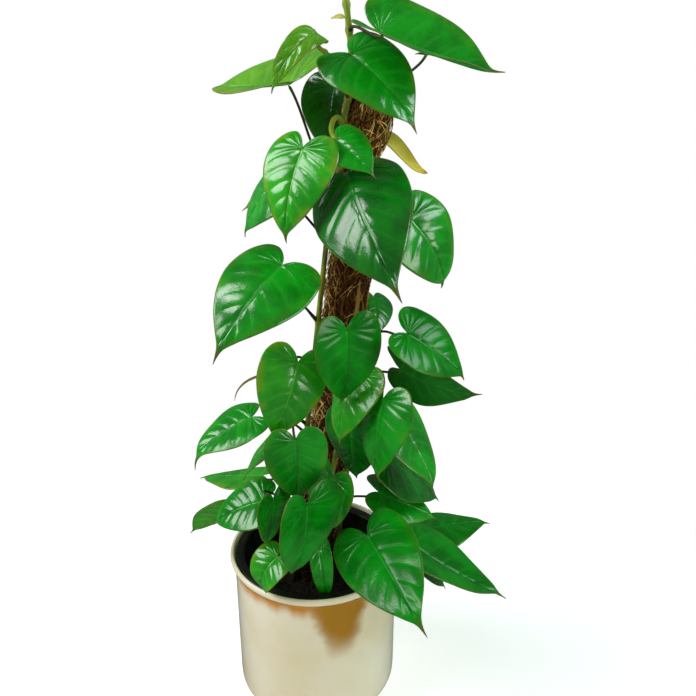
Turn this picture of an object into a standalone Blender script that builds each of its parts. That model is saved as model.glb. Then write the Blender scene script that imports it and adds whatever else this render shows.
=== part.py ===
"""Potted heartleaf philodendron climbing a leaning coir pole, in a glazed cachepot.

Metres, +Z up, with the origin at the centre of the cachepot's flat foot. The plant's front is -Y.
Headings are degrees turned from the front towards +X, seen from above.
"""
import math
from collections import namedtuple

import bmesh
import bpy
from mathutils import Vector
from mathutils.geometry import interpolate_bezier

# Pot, liner and soil
GAP = 0.0003
TURN_STEPS = 40
RIM_HEIGHT = 0.157
RIM_RADIUS = 0.0885
BODY_RADIUS = 0.084
WALL = 0.005
FLOOR = 0.007
FOOT_RADIUS = 0.0815
LINER_TOP = 0.1545
LINER_RIM_RADIUS = 0.0825
LINER_RIM_THICKNESS = 0.0018
LINER_TOP_RADIUS = 0.0755
LINER_FOOT_RADIUS = 0.060
LINER_WALL = 0.0015
DRAIN_HOLES = 5
DRAIN_RADIUS = 0.005
DRAIN_CIRCLE = 0.040
SOIL_EDGE = 0.117
SOIL_CROWN = 0.121

# Coir pole, which leans towards +X
POLE_LEAN = math.radians(6.6)
POLE_FOOT = Vector((-0.0152, 0.0, 0.014))
POLE_TOP = 0.620
COIR_FOOT = 0.050
COIR_RADIUS = 0.020
CORE_RADIUS = 0.008
POLE_UP = Vector((math.sin(POLE_LEAN), 0.0, math.cos(POLE_LEAN)))
POLE_SIDE = Vector((math.cos(POLE_LEAN), 0.0, -math.sin(POLE_LEAN)))
POLE_FRONT = Vector((0.0, -1.0, 0.0))

# Vines: (height, heading round the pole) where they cling to it, then free points above it
VINE_RADIUS = 0.0028
VINE_STEP = 0.018
Vine = namedtuple("Vine", "headings free")
VINES = {
    "vine_main": Vine(((0.095, -60), (0.30, -80), (0.47, -92), (0.56, -62), (0.615, -46)),
                      ((0.036, -0.019, 0.640), (0.034, -0.020, 0.658), (0.031, -0.019, 0.680),
                       (0.030, -0.017, 0.700))),
    "vine_right": Vine(((0.095, 58), (0.25, 62), (0.33, 75), (0.400, 108)), ()),
    "vine_back": Vine(((0.095, 180), (0.35, 168), (0.600, 185)), ()),
    "vine_front": Vine(((0.095, 0), (0.22, 12), (0.33, 22), (0.405, 8)), ()),
}

# Leaves: each blade hangs from its base, where the two lobes meet the stalk; inline is how far the stalk
# arrives along the midrib and not from behind the blade
BLADE_THICKNESS = 0.0008
STALK_RADIUS = 0.0013
STALK_POINTS = 6
BLADE_COLUMNS = 4
BLADE_ROWS = 8
CUP = 0.4
LOBE_SHARE = 0.5
OUTLINE = ((0, 0), (0.07, -0.11), (0.19, -0.19), (0.33, -0.17), (0.44, -0.05), (0.48, 0.11),
           (0.465, 0.29), (0.385, 0.49), (0.265, 0.67), (0.14, 0.81), (0.05, 0.91), (0, 1))
OUTLINE_WIDTH = 0.96
Leaf = namedtuple("Leaf", "vine node base length width heading droop roll arch fold inline", defaults=(0.3,))
LEAVES = {
    "leaf_01": Leaf("vine_main", 0.649, (0.057, -0.046, 0.646), 0.098, 0.74, 80, 22, -25, -9, 0.59),
    "leaf_02": Leaf("vine_main", 0.600, (0.036, -0.050, 0.631), 0.078, 0.82, 50, 25, -30, 48, 0.15),
    "leaf_03": Leaf("vine_main", 0.618, (0.010, -0.045, 0.645), 0.070, 0.30, -18, 0, 37, 150, 0.15),
    "leaf_04": Leaf("vine_main", 0.530, (-0.012, -0.010, 0.610), 0.106, 0.88, -135, 5, 21, -6, 0.43),
    "leaf_05": Leaf("vine_back", 0.580, (0.023, 0.040, 0.608), 0.068, 0.85, -12, 51, 7, 25, 0.04),
    "leaf_06": Leaf("vine_main", 0.580, (0.025, -0.065, 0.571), 0.045, 0.85, 45, 24, -30, 23, 0.19, 0.9),
    "leaf_07": Leaf("vine_main", 0.515, (0.000, -0.070, 0.565), 0.073, 0.86, -38, 53, 9, 45, 0.05),
    "leaf_08": Leaf("vine_main", 0.495, (-0.016, -0.036, 0.543), 0.075, 0.86, -105, 38, 37, 32, 0.05),
    "leaf_09": Leaf("vine_main", 0.480, (-0.022, 0.010, 0.522), 0.042, 0.70, -80, 15, 20, 20, 0.10),
    "leaf_10": Leaf("vine_main", 0.500, (0.033, -0.075, 0.546), 0.114, 0.70, 12, 25, -31, 43, -0.29),
    "leaf_11": Leaf("vine_back", 0.505, (0.086, -0.030, 0.504), 0.080, 0.86, 80, 44, -45, 60, 0.15),
    "leaf_12": Leaf("vine_main", 0.405, (-0.020, -0.056, 0.471), 0.098, 0.78, -32, 18, 22, 44, 0.00),
    "leaf_13": Leaf("vine_main", 0.360, (-0.008, -0.070, 0.391), 0.075, 0.85, -22, 60, 45, 40, 0.00),
    "leaf_14": Leaf("vine_front", 0.395, (0.033, -0.076, 0.422), 0.073, 0.86, 28, 84, 0, 28, 0.25),
    "leaf_15": Leaf("vine_front", 0.360, (0.044, -0.052, 0.372), 0.068, 0.87, -52, 46, -3, 45, -0.05),
    "leaf_16": Leaf("vine_right", 0.385, (0.084, -0.060, 0.413), 0.070, 0.86, 88, 30, -35, 24, 0.22),
    "leaf_17": Leaf("vine_right", 0.350, (0.081, -0.030, 0.368), 0.077, 0.86, 51, 16, 67, -31, 0.08),
    "leaf_18": Leaf("vine_front", 0.330, (0.064, -0.076, 0.360), 0.075, 0.87, -38, 65, -16, 29, -0.05),
    "leaf_19": Leaf("vine_right", 0.300, (0.079, -0.048, 0.330), 0.076, 0.86, 53, 50, 5, 10, 0.10),
    "leaf_20": Leaf("vine_right", 0.260, (0.070, -0.045, 0.283), 0.081, 0.87, 105, 35, -20, 21, 0.06),
    "leaf_21": Leaf("vine_main", 0.300, (-0.052, -0.060, 0.334), 0.064, 0.86, -68, 15, 8, 32, 0.12),
    "leaf_22": Leaf("vine_main", 0.270, (-0.036, -0.030, 0.300), 0.052, 0.86, -75, 45, -10, 16, 0.05),
    "leaf_23": Leaf("vine_main", 0.290, (-0.011, -0.086, 0.326), 0.064, 0.86, 15, 85, -4, 18, 0.30),
    "leaf_24": Leaf("vine_main", 0.235, (-0.055, 0.012, 0.232), 0.081, 0.86, -115, 13, -10, 5, 0.10),
    "leaf_25": Leaf("vine_main", 0.220, (-0.045, -0.050, 0.242), 0.063, 0.85, -88, 12, 28, 46, 0.15),
    "leaf_26": Leaf("vine_main", 0.185, (-0.082, -0.022, 0.216), 0.058, 0.86, -107, 33, -46, 15, 0.17),
    "leaf_27": Leaf("vine_main", 0.205, (-0.031, -0.095, 0.274), 0.055, 0.86, 27, 90, 32, 22, 0.22),
    "leaf_28": Leaf("vine_front", 0.178, (-0.001, -0.106, 0.275), 0.086, 0.86, 18, 88, 30, 30, 0.30),
    "leaf_29": Leaf("vine_front", 0.250, (0.020, -0.064, 0.276), 0.067, 0.86, -70, 70, 26, 44, 0.18),
    "leaf_30": Leaf("vine_main", 0.165, (-0.032, -0.075, 0.197), 0.048, 0.85, -53, 20, 13, 117, 0.28),
    "leaf_31": Leaf("vine_front", 0.165, (0.007, -0.059, 0.195), 0.065, 0.33, 11, 39, -6, 101, 0.22),
    "leaf_32": Leaf("vine_front", 0.195, (0.051, -0.100, 0.239), 0.103, 0.70, 22, 8, -26, 13, 0.10),
    "leaf_33": Leaf("vine_right", 0.175, (0.095, -0.060, 0.201), 0.101, 0.85, 73, 32, 10, -14, 0.30),
    "leaf_34": Leaf("vine_right", 0.160, (0.107, 0.006, 0.169), 0.083, 0.86, 105, -5, 3, 14, 0.01),
    "leaf_35": Leaf("vine_right", 0.220, (0.063, -0.046, 0.249), 0.067, 0.80, 92, 26, -14, 6, 0.05),
    "leaf_36": Leaf("vine_front", 0.300, (0.036, -0.045, 0.321), 0.068, 0.86, -10, 92, -20, 20, 0.00),
    "leaf_37": Leaf("vine_back", 0.390, (0.059, 0.047, 0.413), 0.047, 0.85, 11, 23, 15, 40, 0.00),
    "leaf_38": Leaf("vine_back", 0.595, (0.098, 0.012, 0.634), 0.036, 0.86, 100, -5, 6, 25, 0.15),
    "leaf_39": Leaf("vine_right", 0.150, (0.107, -0.045, 0.172), 0.043, 0.80, 85, 45, -9, 20, 0.07),
    "leaf_40": Leaf("vine_back", 0.540, (0.033, 0.062, 0.540), 0.078, 0.86, 160, 56, -14, 35, 0.15),
    "leaf_41": Leaf("vine_back", 0.460, (0.055, 0.055, 0.506), 0.083, 0.86, 200, 50, -7, 35, 0.15),
    "leaf_42": Leaf("vine_back", 0.340, (0.029, 0.066, 0.359), 0.084, 0.86, 215, 36, 0, 35, 0.15),
    "leaf_43": Leaf("vine_back", 0.270, (0.042, 0.075, 0.307), 0.084, 0.86, 145, 54, -11, 35, 0.15),
    "leaf_44": Leaf("vine_back", 0.200, (0.003, 0.056, 0.224), 0.084, 0.86, 153, 45, -17, 30, 0.15),
    "leaf_45": Leaf("vine_back", 0.150, (-0.012, 0.050, 0.196), 0.064, 0.86, 200, 14, -5, 30, 0.15),
}

# Dry sheaths that wrapped young leaves: a strap along a curve from the vine to its tip
SHEATH_THICKNESS = 0.0006
SHEATH_ROWS = 8
Sheath = namedtuple("Sheath", "vine node points half_width face")
SHEATHS = {
    "sheath_right": Sheath("vine_back", 0.571, ((0.080, 0.020, 0.570), (0.081, -0.014, 0.544),
                                                (0.101, -0.010, 0.539)), 0.0075, (0.3, -1.0, 0.2)),
    "sheath_curled": Sheath("vine_main", 0.340, ((-0.028, -0.030, 0.372), (-0.066, -0.042, 0.368),
                                                 (-0.068, -0.042, 0.342)), 0.0022, (0.0, -1.0, 0.4)),
    "sheath_tip": Sheath("vine_main", 0.657, ((0.029, -0.023, 0.659), (0.026, -0.024, 0.659),
                                              (0.021, -0.025, 0.657)), 0.0020, (0.0, -1.0, 0.3)),
    "sheath_front": Sheath("vine_front", 0.385, ((0.037, -0.036, 0.392), (0.043, -0.034, 0.428),
                                                 (0.0445, -0.0250, 0.450)), 0.0028, (0.4, -1.0, 0.0)),
}
SPEAR_LENGTH = 0.034
SPEAR_RADIUS = 0.0030

COLOURS = {
    "glaze": ((0.79, 0.73, 0.62), 0.18),
    "black_plastic": ((0.010, 0.010, 0.010), 0.40),
    "soil": ((0.020, 0.015, 0.008), 0.95),
    "timber": ((0.45, 0.32, 0.19), 0.70),
    "coir": ((0.33, 0.17, 0.05), 0.90),
    "vine": ((0.10, 0.16, 0.03), 0.45),
    "leaf": ((0.010, 0.16, 0.015), 0.28),
    "sheath": ((0.42, 0.34, 0.05), 0.60),
}


def clear_scene():
    for item in list(bpy.data.objects):
        bpy.data.objects.remove(item, do_unlink=True)


def collection(name):
    made = bpy.data.collections.new(name)
    bpy.context.scene.collection.children.link(made)
    return made


def material(name):
    """A material of its own for each sub-part, in one of the object's finishes."""
    finish = name.split("__")[0]
    colour, roughness = COLOURS[finish]
    made = bpy.data.materials.new(name)
    made.use_nodes = True
    shader = made.node_tree.nodes["Principled BSDF"]
    shader.inputs["Base Color"].default_value = (*colour, 1.0)
    shader.inputs["Roughness"].default_value = roughness
    shader.inputs["Metallic"].default_value = 0.0
    return made


def add_part(name, mesh, finish, smooth=True):
    part = bpy.data.objects.new(name, mesh)
    PARTS.objects.link(part)
    part.data.materials.append(material(f"{finish}__{name}"))
    if smooth:
        mesh.shade_smooth()
        mesh.set_sharp_from_angle(angle=math.radians(40))
    return part


def add_cutter(name, mesh):
    cutter = bpy.data.objects.new(name, mesh)
    CUTTERS.objects.link(cutter)
    cutter.hide_render = True
    cutter.display_type = "WIRE"
    return cutter


def boolean(part, cutter, operation):
    modifier = part.modifiers.new(f"{operation.lower()} {cutter.name}", "BOOLEAN")
    modifier.operation = operation
    modifier.object = cutter


def turned(name, profile, finish):
    """A body turned about Z from its profile, which runs from the axis, up inside and down outside."""
    mesh = bpy.data.meshes.new(name)
    corners = [(radius, 0.0, height) for radius, height in profile]
    mesh.from_pydata(corners, [(i, i + 1) for i in range(len(corners) - 1)], [])
    part = add_part(name, mesh, finish, smooth=False)
    screw = part.modifiers.new("turn", "SCREW")
    screw.steps = screw.render_steps = TURN_STEPS
    screw.use_merge_vertices = True
    screw.merge_threshold = 0.00001
    screw.use_smooth_shade = True
    return part


def cylinder_mesh(name, start, end, radius, sides):
    """A capped cylinder between two points."""
    mesh = bpy.data.meshes.new(name)
    shape = bmesh.new()
    along = end - start
    bmesh.ops.create_cone(shape, cap_ends=True, segments=sides, radius1=radius, radius2=radius,
                          depth=along.length)
    turn = along.to_track_quat("Z", "X").to_matrix().to_4x4()
    bmesh.ops.transform(shape, matrix=turn, verts=shape.verts)
    bmesh.ops.translate(shape, vec=(start + end) / 2, verts=shape.verts)
    shape.to_mesh(mesh)
    shape.free()
    return mesh


def tube_mesh(name, points, radius, sides_level=1):
    """A mesh tube with closed ends along straight runs between the points."""
    data = bpy.data.curves.new(name, "CURVE")
    data.dimensions = "3D"
    data.bevel_depth = radius
    data.bevel_resolution = sides_level
    data.use_fill_caps = True
    spline = data.splines.new("POLY")
    spline.points.add(len(points) - 1)
    for point, place in zip(spline.points, points):
        point.co = (*place, 1.0)
    carrier = bpy.data.objects.new(name, data)
    bpy.context.scene.collection.objects.link(carrier)
    bpy.context.view_layer.update()
    graph = bpy.context.evaluated_depsgraph_get()
    mesh = bpy.data.meshes.new_from_object(carrier.evaluated_get(graph))
    bpy.data.objects.remove(carrier)
    shape = bmesh.new()
    shape.from_mesh(mesh)
    bmesh.ops.remove_doubles(shape, verts=shape.verts, dist=0.000005)
    bmesh.ops.recalc_face_normals(shape, faces=shape.faces)
    shape.to_mesh(mesh)
    shape.free()
    return mesh


def make_cachepot():
    inner = BODY_RADIUS - WALL
    turned("cachepot", (
        (0.0, FLOOR), (inner - 0.012, FLOOR), (inner - 0.003, FLOOR + 0.004), (inner, FLOOR + 0.014),
        (inner, RIM_HEIGHT - 0.0140), (inner + 0.0015, RIM_HEIGHT - 0.0085),
        (inner + 0.0045, RIM_HEIGHT - 0.0045), (RIM_RADIUS - 0.0040, RIM_HEIGHT - 0.0010),
        (RIM_RADIUS - 0.0030, RIM_HEIGHT),
        (RIM_RADIUS - 0.0010, RIM_HEIGHT - 0.0004), (RIM_RADIUS, RIM_HEIGHT - 0.0025),
        (RIM_RADIUS - 0.0005, RIM_HEIGHT - 0.0055), (RIM_RADIUS - 0.0025, RIM_HEIGHT - 0.0085),
        (BODY_RADIUS, RIM_HEIGHT - 0.0120), (BODY_RADIUS, 0.0045), (BODY_RADIUS - 0.0008, 0.0012),
        (FOOT_RADIUS, 0.0), (0.0, 0.0)), "glaze")


def liner_radius(height):
    """Outer radius of the liner's tapered wall at a height."""
    share = (height - FLOOR) / (LINER_TOP - FLOOR)
    return LINER_FOOT_RADIUS + share * (LINER_TOP_RADIUS - LINER_FOOT_RADIUS)


def make_nursery_pot():
    foot = FLOOR + GAP
    floor = foot + 0.002
    ledge = LINER_TOP - LINER_RIM_THICKNESS
    pot = turned("nursery_pot", (
        (0.0, floor), (liner_radius(floor) - LINER_WALL, floor),
        (liner_radius(ledge) - LINER_WALL, ledge), (LINER_TOP_RADIUS, LINER_TOP),
        (LINER_RIM_RADIUS, LINER_TOP), (LINER_RIM_RADIUS, ledge), (liner_radius(ledge), ledge),
        (LINER_FOOT_RADIUS, foot), (0.0, foot)),
        "black_plastic")
    for number in range(DRAIN_HOLES):
        angle = 2 * math.pi * number / DRAIN_HOLES
        centre = Vector((DRAIN_CIRCLE * math.cos(angle), DRAIN_CIRCLE * math.sin(angle), foot))
        reach = Vector((0, 0, 0.006))
        drill = cylinder_mesh("drain drill", centre - reach, centre + reach, DRAIN_RADIUS, 12)
        boolean(pot, add_cutter(f"drain_{number + 1}", drill), "DIFFERENCE")


def axis_point(height):
    """The point of the pole's axis at a height."""
    return POLE_FOOT + POLE_UP * ((height - POLE_FOOT.z) / POLE_UP.z)


def make_pole():
    top = axis_point(POLE_TOP)
    core = cylinder_mesh("pole_core", POLE_FOOT, top, CORE_RADIUS, 16)
    add_part("pole_core", core, "timber")
    sleeve = cylinder_mesh("coir_sleeve", axis_point(COIR_FOOT), top, COIR_RADIUS, 24)
    coir = add_part("coir_sleeve", sleeve, "coir")
    margin = POLE_UP * 0.01
    bore = cylinder_mesh("coir bore", axis_point(COIR_FOOT) - margin, top + margin, CORE_RADIUS + GAP, 16)
    boolean(coir, add_cutter("coir_bore", bore), "DIFFERENCE")


def blend(keys, height):
    """The value at a height between (height, value) keys, eased between neighbours."""
    for (low, first), (high, second) in zip(keys, keys[1:]):
        if height <= high:
            share = max(0.0, (height - low) / (high - low))
            return first + (second - first) * share * share * (3 - 2 * share)
    return keys[-1][1]


def vine_line(name):
    """The vine's centre line: up the pole's surface, then through its free points."""
    vine = VINES[name]
    low, high = vine.headings[0][0], vine.headings[-1][0]
    steps = round((high - low) / VINE_STEP)
    radius = COIR_RADIUS + VINE_RADIUS + 2 * GAP
    line = []
    for step in range(steps + 1):
        height = low + (high - low) * step / steps
        heading = math.radians(blend(vine.headings, height))
        outward = math.sin(heading) * POLE_SIDE + math.cos(heading) * POLE_FRONT
        line.append(axis_point(height) + radius * outward)
    return line + [Vector(point) for point in vine.free]


def vine_place(name, height):
    """The vine's centre at a height and its direction there, on the straight runs that its tube follows."""
    line = LINES[name]
    for low, high in zip(line, line[1:]):
        if height <= high.z:
            break
    share = min(1.0, (height - low.z) / (high.z - low.z))
    return low.lerp(high, share), (high - low).normalized()


def make_vines():
    for name, line in LINES.items():
        add_part(name, tube_mesh(name, line, VINE_RADIUS, 2), "vine")


def make_soil():
    bottom = FLOOR + GAP + 0.002 + GAP
    wall = LINER_WALL + GAP
    soil = turned("soil", (
        (0.0, SOIL_CROWN), (0.035, SOIL_CROWN - 0.001), (liner_radius(SOIL_EDGE) - wall, SOIL_EDGE),
        (liner_radius(bottom) - wall, bottom), (0.0, bottom)), "soil")
    low, high = axis_point(POLE_FOOT.z - 0.01), axis_point(SOIL_CROWN + 0.01)
    core = cylinder_mesh("core hole", low, high, CORE_RADIUS + GAP, 16)
    boolean(soil, add_cutter("core_hole", core), "DIFFERENCE")
    coir = cylinder_mesh("coir hole", axis_point(COIR_FOOT - GAP), high, COIR_RADIUS + GAP, 24)
    boolean(soil, add_cutter("coir_hole", coir), "DIFFERENCE")
    for name, line in LINES.items():
        run = (line[2] - line[0]).normalized()
        hole = cylinder_mesh(f"{name} hole", line[0] - run * GAP, line[2], VINE_RADIUS + 3 * GAP, 12)
        boolean(soil, add_cutter(f"{name}_hole", hole), "DIFFERENCE")


def outline_point(share):
    """Half the heart outline, from the notch round a lobe to the tip, on a smooth curve."""
    place = share * (len(OUTLINE) - 1)
    index = min(int(place), len(OUTLINE) - 2)
    t = place - index
    before, first, second, after = (
        Vector(OUTLINE[min(max(index + k, 0), len(OUTLINE) - 1)]) for k in (-1, 0, 1, 2))
    return 0.5 * (2 * first + (second - before) * t
                  + (2 * before - 5 * first + 4 * second - after) * t * t
                  + (3 * first - before - 3 * second + after) * t * t * t)


def flat_point(share, across):
    """Blade point in units of its length: share runs along the margin, across from -1 to 1."""
    edge = outline_point(share)
    rib = Vector((0.0, max(0.0, (share - LOBE_SHARE) / (1 - LOBE_SHARE))))
    bow = Vector((0.55 * edge.x, rib.y + 0.30 * (edge.y - rib.y)))
    a = abs(across)
    point = (1 - a) ** 2 * rib + 2 * a * (1 - a) * bow + a * a * edge
    return math.copysign(point.x, across), point.y


def blade_axes(leaf):
    """Unit vectors across the blade, along its midrib, and out of its upper face, at the base."""
    heading, droop, roll = (math.radians(v) for v in (leaf.heading, leaf.droop, leaf.roll))
    out = Vector((math.sin(heading), -math.cos(heading), 0.0))
    along = out * math.cos(droop) - Vector((0, 0, math.sin(droop)))
    upper = out * math.sin(droop) + Vector((0, 0, math.cos(droop)))
    side = Vector((math.cos(heading), math.sin(heading), 0.0))
    return (side * math.cos(roll) - upper * math.sin(roll), along,
            upper * math.cos(roll) + side * math.sin(roll))


def blade_point(leaf, share, across):
    """A point of the bent blade in the plant's frame."""
    x, y = flat_point(share, across)
    x *= leaf.width * leaf.length / OUTLINE_WIDTH
    height = leaf.fold * abs(x) - CUP * x * x / leaf.length
    bend = math.radians(leaf.arch or 1)
    angle = bend * y
    along = leaf.length * math.sin(angle) / bend + height * math.sin(angle)
    rise = height * math.cos(angle) - leaf.length * (1 - math.cos(angle)) / bend
    side, ahead, upper = blade_axes(leaf)
    return Vector(leaf.base) + x * side + along * ahead + rise * upper


def stalk_line(leaf):
    """The stalk: out of the vine, round, and into the blade's base from behind."""
    node, run = vine_place(leaf.vine, leaf.node)
    ahead, upper = blade_axes(leaf)[1:]
    end = blade_point(leaf, LOBE_SHARE + 0.02, 0.0)
    outward = (node - axis_point(min(leaf.node, POLE_TOP))).normalized()
    toward = end - node
    toward = (toward - toward.dot(run) * run).normalized()
    out = outward + toward
    out = (out - out.dot(run) * run).normalized()
    start = node + out * (VINE_RADIUS + 2 * GAP)
    reach = (end - start).length
    first = start + 0.25 * reach * (out + POLE_UP)
    last = end - 0.35 * reach * ((1 - leaf.inline) * upper + leaf.inline * ahead)
    curve = interpolate_bezier(start, first, last, end, STALK_POINTS)
    return [start, start + out * 0.002] + list(curve[1:])


def make_leaf(name, leaf):
    shape = bmesh.new()
    bmesh.ops.create_grid(shape, x_segments=BLADE_COLUMNS, y_segments=BLADE_ROWS, size=1)
    for corner in shape.verts:
        corner.co = blade_point(leaf, (corner.co.y + 1) / 2, corner.co.x)
    bmesh.ops.remove_doubles(shape, verts=shape.verts, dist=0.00005)
    mesh = bpy.data.meshes.new(name)
    shape.to_mesh(mesh)
    shape.free()
    blade = add_part(name, mesh, "leaf")
    skin = blade.modifiers.new("thickness", "SOLIDIFY")
    skin.thickness = BLADE_THICKNESS
    skin.offset = 0
    stalk = tube_mesh(f"{name} stalk", stalk_line(leaf), STALK_RADIUS)
    boolean(blade, add_cutter(f"{name}_stalk", stalk), "UNION")


def make_sheath(name, sheath):
    points = [Vector(point) for point in sheath.points]
    node = vine_place(sheath.vine, sheath.node)[0]
    root = node + (points[0] - node).normalized() * (VINE_RADIUS + 3 * GAP)
    face = Vector(sheath.face).normalized()
    line = interpolate_bezier(root, *points, SHEATH_ROWS + 1)
    shape = bmesh.new()
    bmesh.ops.create_grid(shape, x_segments=2, y_segments=SHEATH_ROWS, size=1)
    for corner in shape.verts:
        row = round((corner.co.y + 1) / 2 * SHEATH_ROWS)
        along = (line[min(row + 1, SHEATH_ROWS)] - line[max(row - 1, 0)]).normalized()
        taper = 0.15 + 0.85 * math.sin(math.pi * row / SHEATH_ROWS) \
            if row < SHEATH_ROWS else 0.1
        corner.co = line[row] + along.cross(face).normalized() * (corner.co.x * sheath.half_width * taper)
    mesh = bpy.data.meshes.new(name)
    shape.to_mesh(mesh)
    shape.free()
    part = add_part(name, mesh, "sheath")
    skin = part.modifiers.new("thickness", "SOLIDIFY")
    skin.thickness = SHEATH_THICKNESS
    skin.offset = 0


def make_spear():
    """The next leaf, still rolled, which carries on from the main vine's end."""
    line = LINES["vine_main"]
    up = (line[-1] - line[-2]).normalized()
    foot = line[-1] + up * GAP
    shape = bmesh.new()
    bmesh.ops.create_cone(shape, cap_ends=True, segments=10, radius1=SPEAR_RADIUS,
                          radius2=SPEAR_RADIUS / 6, depth=SPEAR_LENGTH)
    bmesh.ops.transform(shape, matrix=up.to_track_quat("Z", "X").to_matrix().to_4x4(), verts=shape.verts)
    bmesh.ops.translate(shape, vec=foot + up * SPEAR_LENGTH / 2, verts=shape.verts)
    mesh = bpy.data.meshes.new("new_leaf")
    shape.to_mesh(mesh)
    shape.free()
    add_part("new_leaf", mesh, "leaf")


clear_scene()
PARTS = collection("potted_philodendron")
CUTTERS = collection("cutters")
LINES = {vine_name: vine_line(vine_name) for vine_name in VINES}
make_cachepot()
make_nursery_pot()
make_pole()
make_vines()
make_soil()
for leaf_name, leaf_row in LEAVES.items():
    make_leaf(leaf_name, leaf_row)
for sheath_name, sheath_row in SHEATHS.items():
    make_sheath(sheath_name, sheath_row)
make_spear()
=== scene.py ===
"""Looks of the potted heartleaf philodendron: cachepot, liner, soil, coir pole, vines, leaves, sheaths.

Metres, +Z up, origin at the centre of the cachepot's foot; the plant's front is -Y.
Headings are degrees turned from the front towards +X, seen from above.
"""
import math
import random
from collections import namedtuple

import bpy
import numpy as np
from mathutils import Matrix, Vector
from mathutils.geometry import interpolate_bezier


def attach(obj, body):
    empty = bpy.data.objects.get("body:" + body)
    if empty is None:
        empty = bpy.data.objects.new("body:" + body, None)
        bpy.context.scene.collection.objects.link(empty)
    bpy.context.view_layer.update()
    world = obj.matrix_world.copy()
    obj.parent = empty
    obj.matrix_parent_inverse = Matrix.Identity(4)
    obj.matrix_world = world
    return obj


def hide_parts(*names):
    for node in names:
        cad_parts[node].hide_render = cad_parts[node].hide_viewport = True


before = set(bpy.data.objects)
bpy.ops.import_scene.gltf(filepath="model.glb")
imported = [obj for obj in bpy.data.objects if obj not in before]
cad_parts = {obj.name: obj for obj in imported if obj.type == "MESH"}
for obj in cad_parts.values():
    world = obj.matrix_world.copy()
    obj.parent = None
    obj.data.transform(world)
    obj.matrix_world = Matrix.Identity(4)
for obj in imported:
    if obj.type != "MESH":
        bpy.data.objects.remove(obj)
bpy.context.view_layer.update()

# Pot, liner and soil
GAP = 0.0003
RIM_HEIGHT = 0.157
RIM_RADIUS = 0.0885
BODY_RADIUS = 0.084
WALL = 0.005
FLOOR = 0.007
FOOT_RADIUS = 0.0815
LINER_TOP = 0.1545
LINER_RIM_RADIUS = 0.0825
LINER_RIM_THICKNESS = 0.0018
LINER_TOP_RADIUS = 0.0755
LINER_FOOT_RADIUS = 0.060
LINER_WALL = 0.0015
LINER_FLOOR = 0.002
DRAIN_HOLES = 5
DRAIN_RADIUS = 0.005
DRAIN_CIRCLE = 0.040
SOIL_EDGE = 0.117
SOIL_CROWN = 0.121
POT_STEPS = 96

# The painted shadow that the low leaves and the lip cast down the cachepot's front: an ochre patch from
# under its lip
PAINTED_SHADOW_CENTRE = 0.027
PAINTED_SHADOW_HALF_WIDTH = 0.029
PAINTED_SHADOW_DEPTH = 0.067
PAINTED_SHADOW_WANDER = 0.010

# Coir pole, which leans towards +X
POLE_LEAN = math.radians(6.6)
POLE_FOOT = Vector((-0.0152, 0.0, 0.014))
POLE_TOP = 0.620
COIR_FOOT = 0.050
COIR_RADIUS = 0.020
COIR_SINK = 0.0012  # how far the mat lies under the loose fibres
COIR_SHOULDER = 0.007
CORE_RADIUS = 0.008
COIR_WAIST = (0.550, 0.012, -0.30)  # height, reach, and change in the sleeve's radius
COIR_TUFT = (0.592, 0.016, 0.05)
POLE_UP = Vector((math.sin(POLE_LEAN), 0.0, math.cos(POLE_LEAN)))
POLE_SIDE = Vector((math.cos(POLE_LEAN), 0.0, -math.sin(POLE_LEAN)))
POLE_FRONT = Vector((0.0, -1.0, 0.0))

# Vines, and the swollen joints along them
VINE_RADIUS = 0.0028
VINE_STEP = 0.018
VINE_ROW = 0.003
JOINT_SPACING = 0.045
JOINT_CLEARANCE = 0.014
JOINT_REACH = 0.0028

# (height, heading round the pole) where a vine clings to it, then free points above it
Vine = namedtuple("Vine", "headings free")
VINES = {
    "vine_main": Vine(((0.095, -60), (0.30, -80), (0.47, -92), (0.56, -62), (0.615, -46)),
                      ((0.036, -0.019, 0.640), (0.034, -0.020, 0.658), (0.031, -0.019, 0.680),
                       (0.030, -0.017, 0.700))),
    "vine_right": Vine(((0.095, 58), (0.25, 62), (0.33, 75), (0.400, 108)), ()),
    "vine_back": Vine(((0.095, 180), (0.35, 168), (0.600, 185)), ()),
    "vine_front": Vine(((0.095, 0), (0.22, 12), (0.33, 22), (0.405, 8)), ()),
}

# The heart blade, whose outline runs from the notch round a lobe to the tip, in shares of its length
LEAF_THICKNESS = 0.0006
CUP = 0.4
LOBE_SHARE = 0.5
OUTLINE = ((0, 0), (0.07, -0.11), (0.19, -0.19), (0.33, -0.17), (0.44, -0.05), (0.48, 0.11),
           (0.465, 0.29), (0.385, 0.49), (0.265, 0.67), (0.132, 0.81), (0.034, 0.905), (0, 1))
OUTLINE_WIDTH = 0.96
BLADE_ACROSS = 36
BLADE_ALONG = 78
QUILT_HEIGHT = 0.0060  # this and the next four in blade lengths
RIB_DEPTH = 0.009
WAVE_HEIGHT = 0.012
CURL_DROP = 0.093
CURL_START = 0.72
STALK_RADIUS = 0.00115
STALK_ROWS = 20
VEINS = (0.0, 0.12, 0.22, 0.32, 0.42, 0.51, 0.59, 0.67, 0.75, 0.83, 0.91, 1.0)

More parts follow.
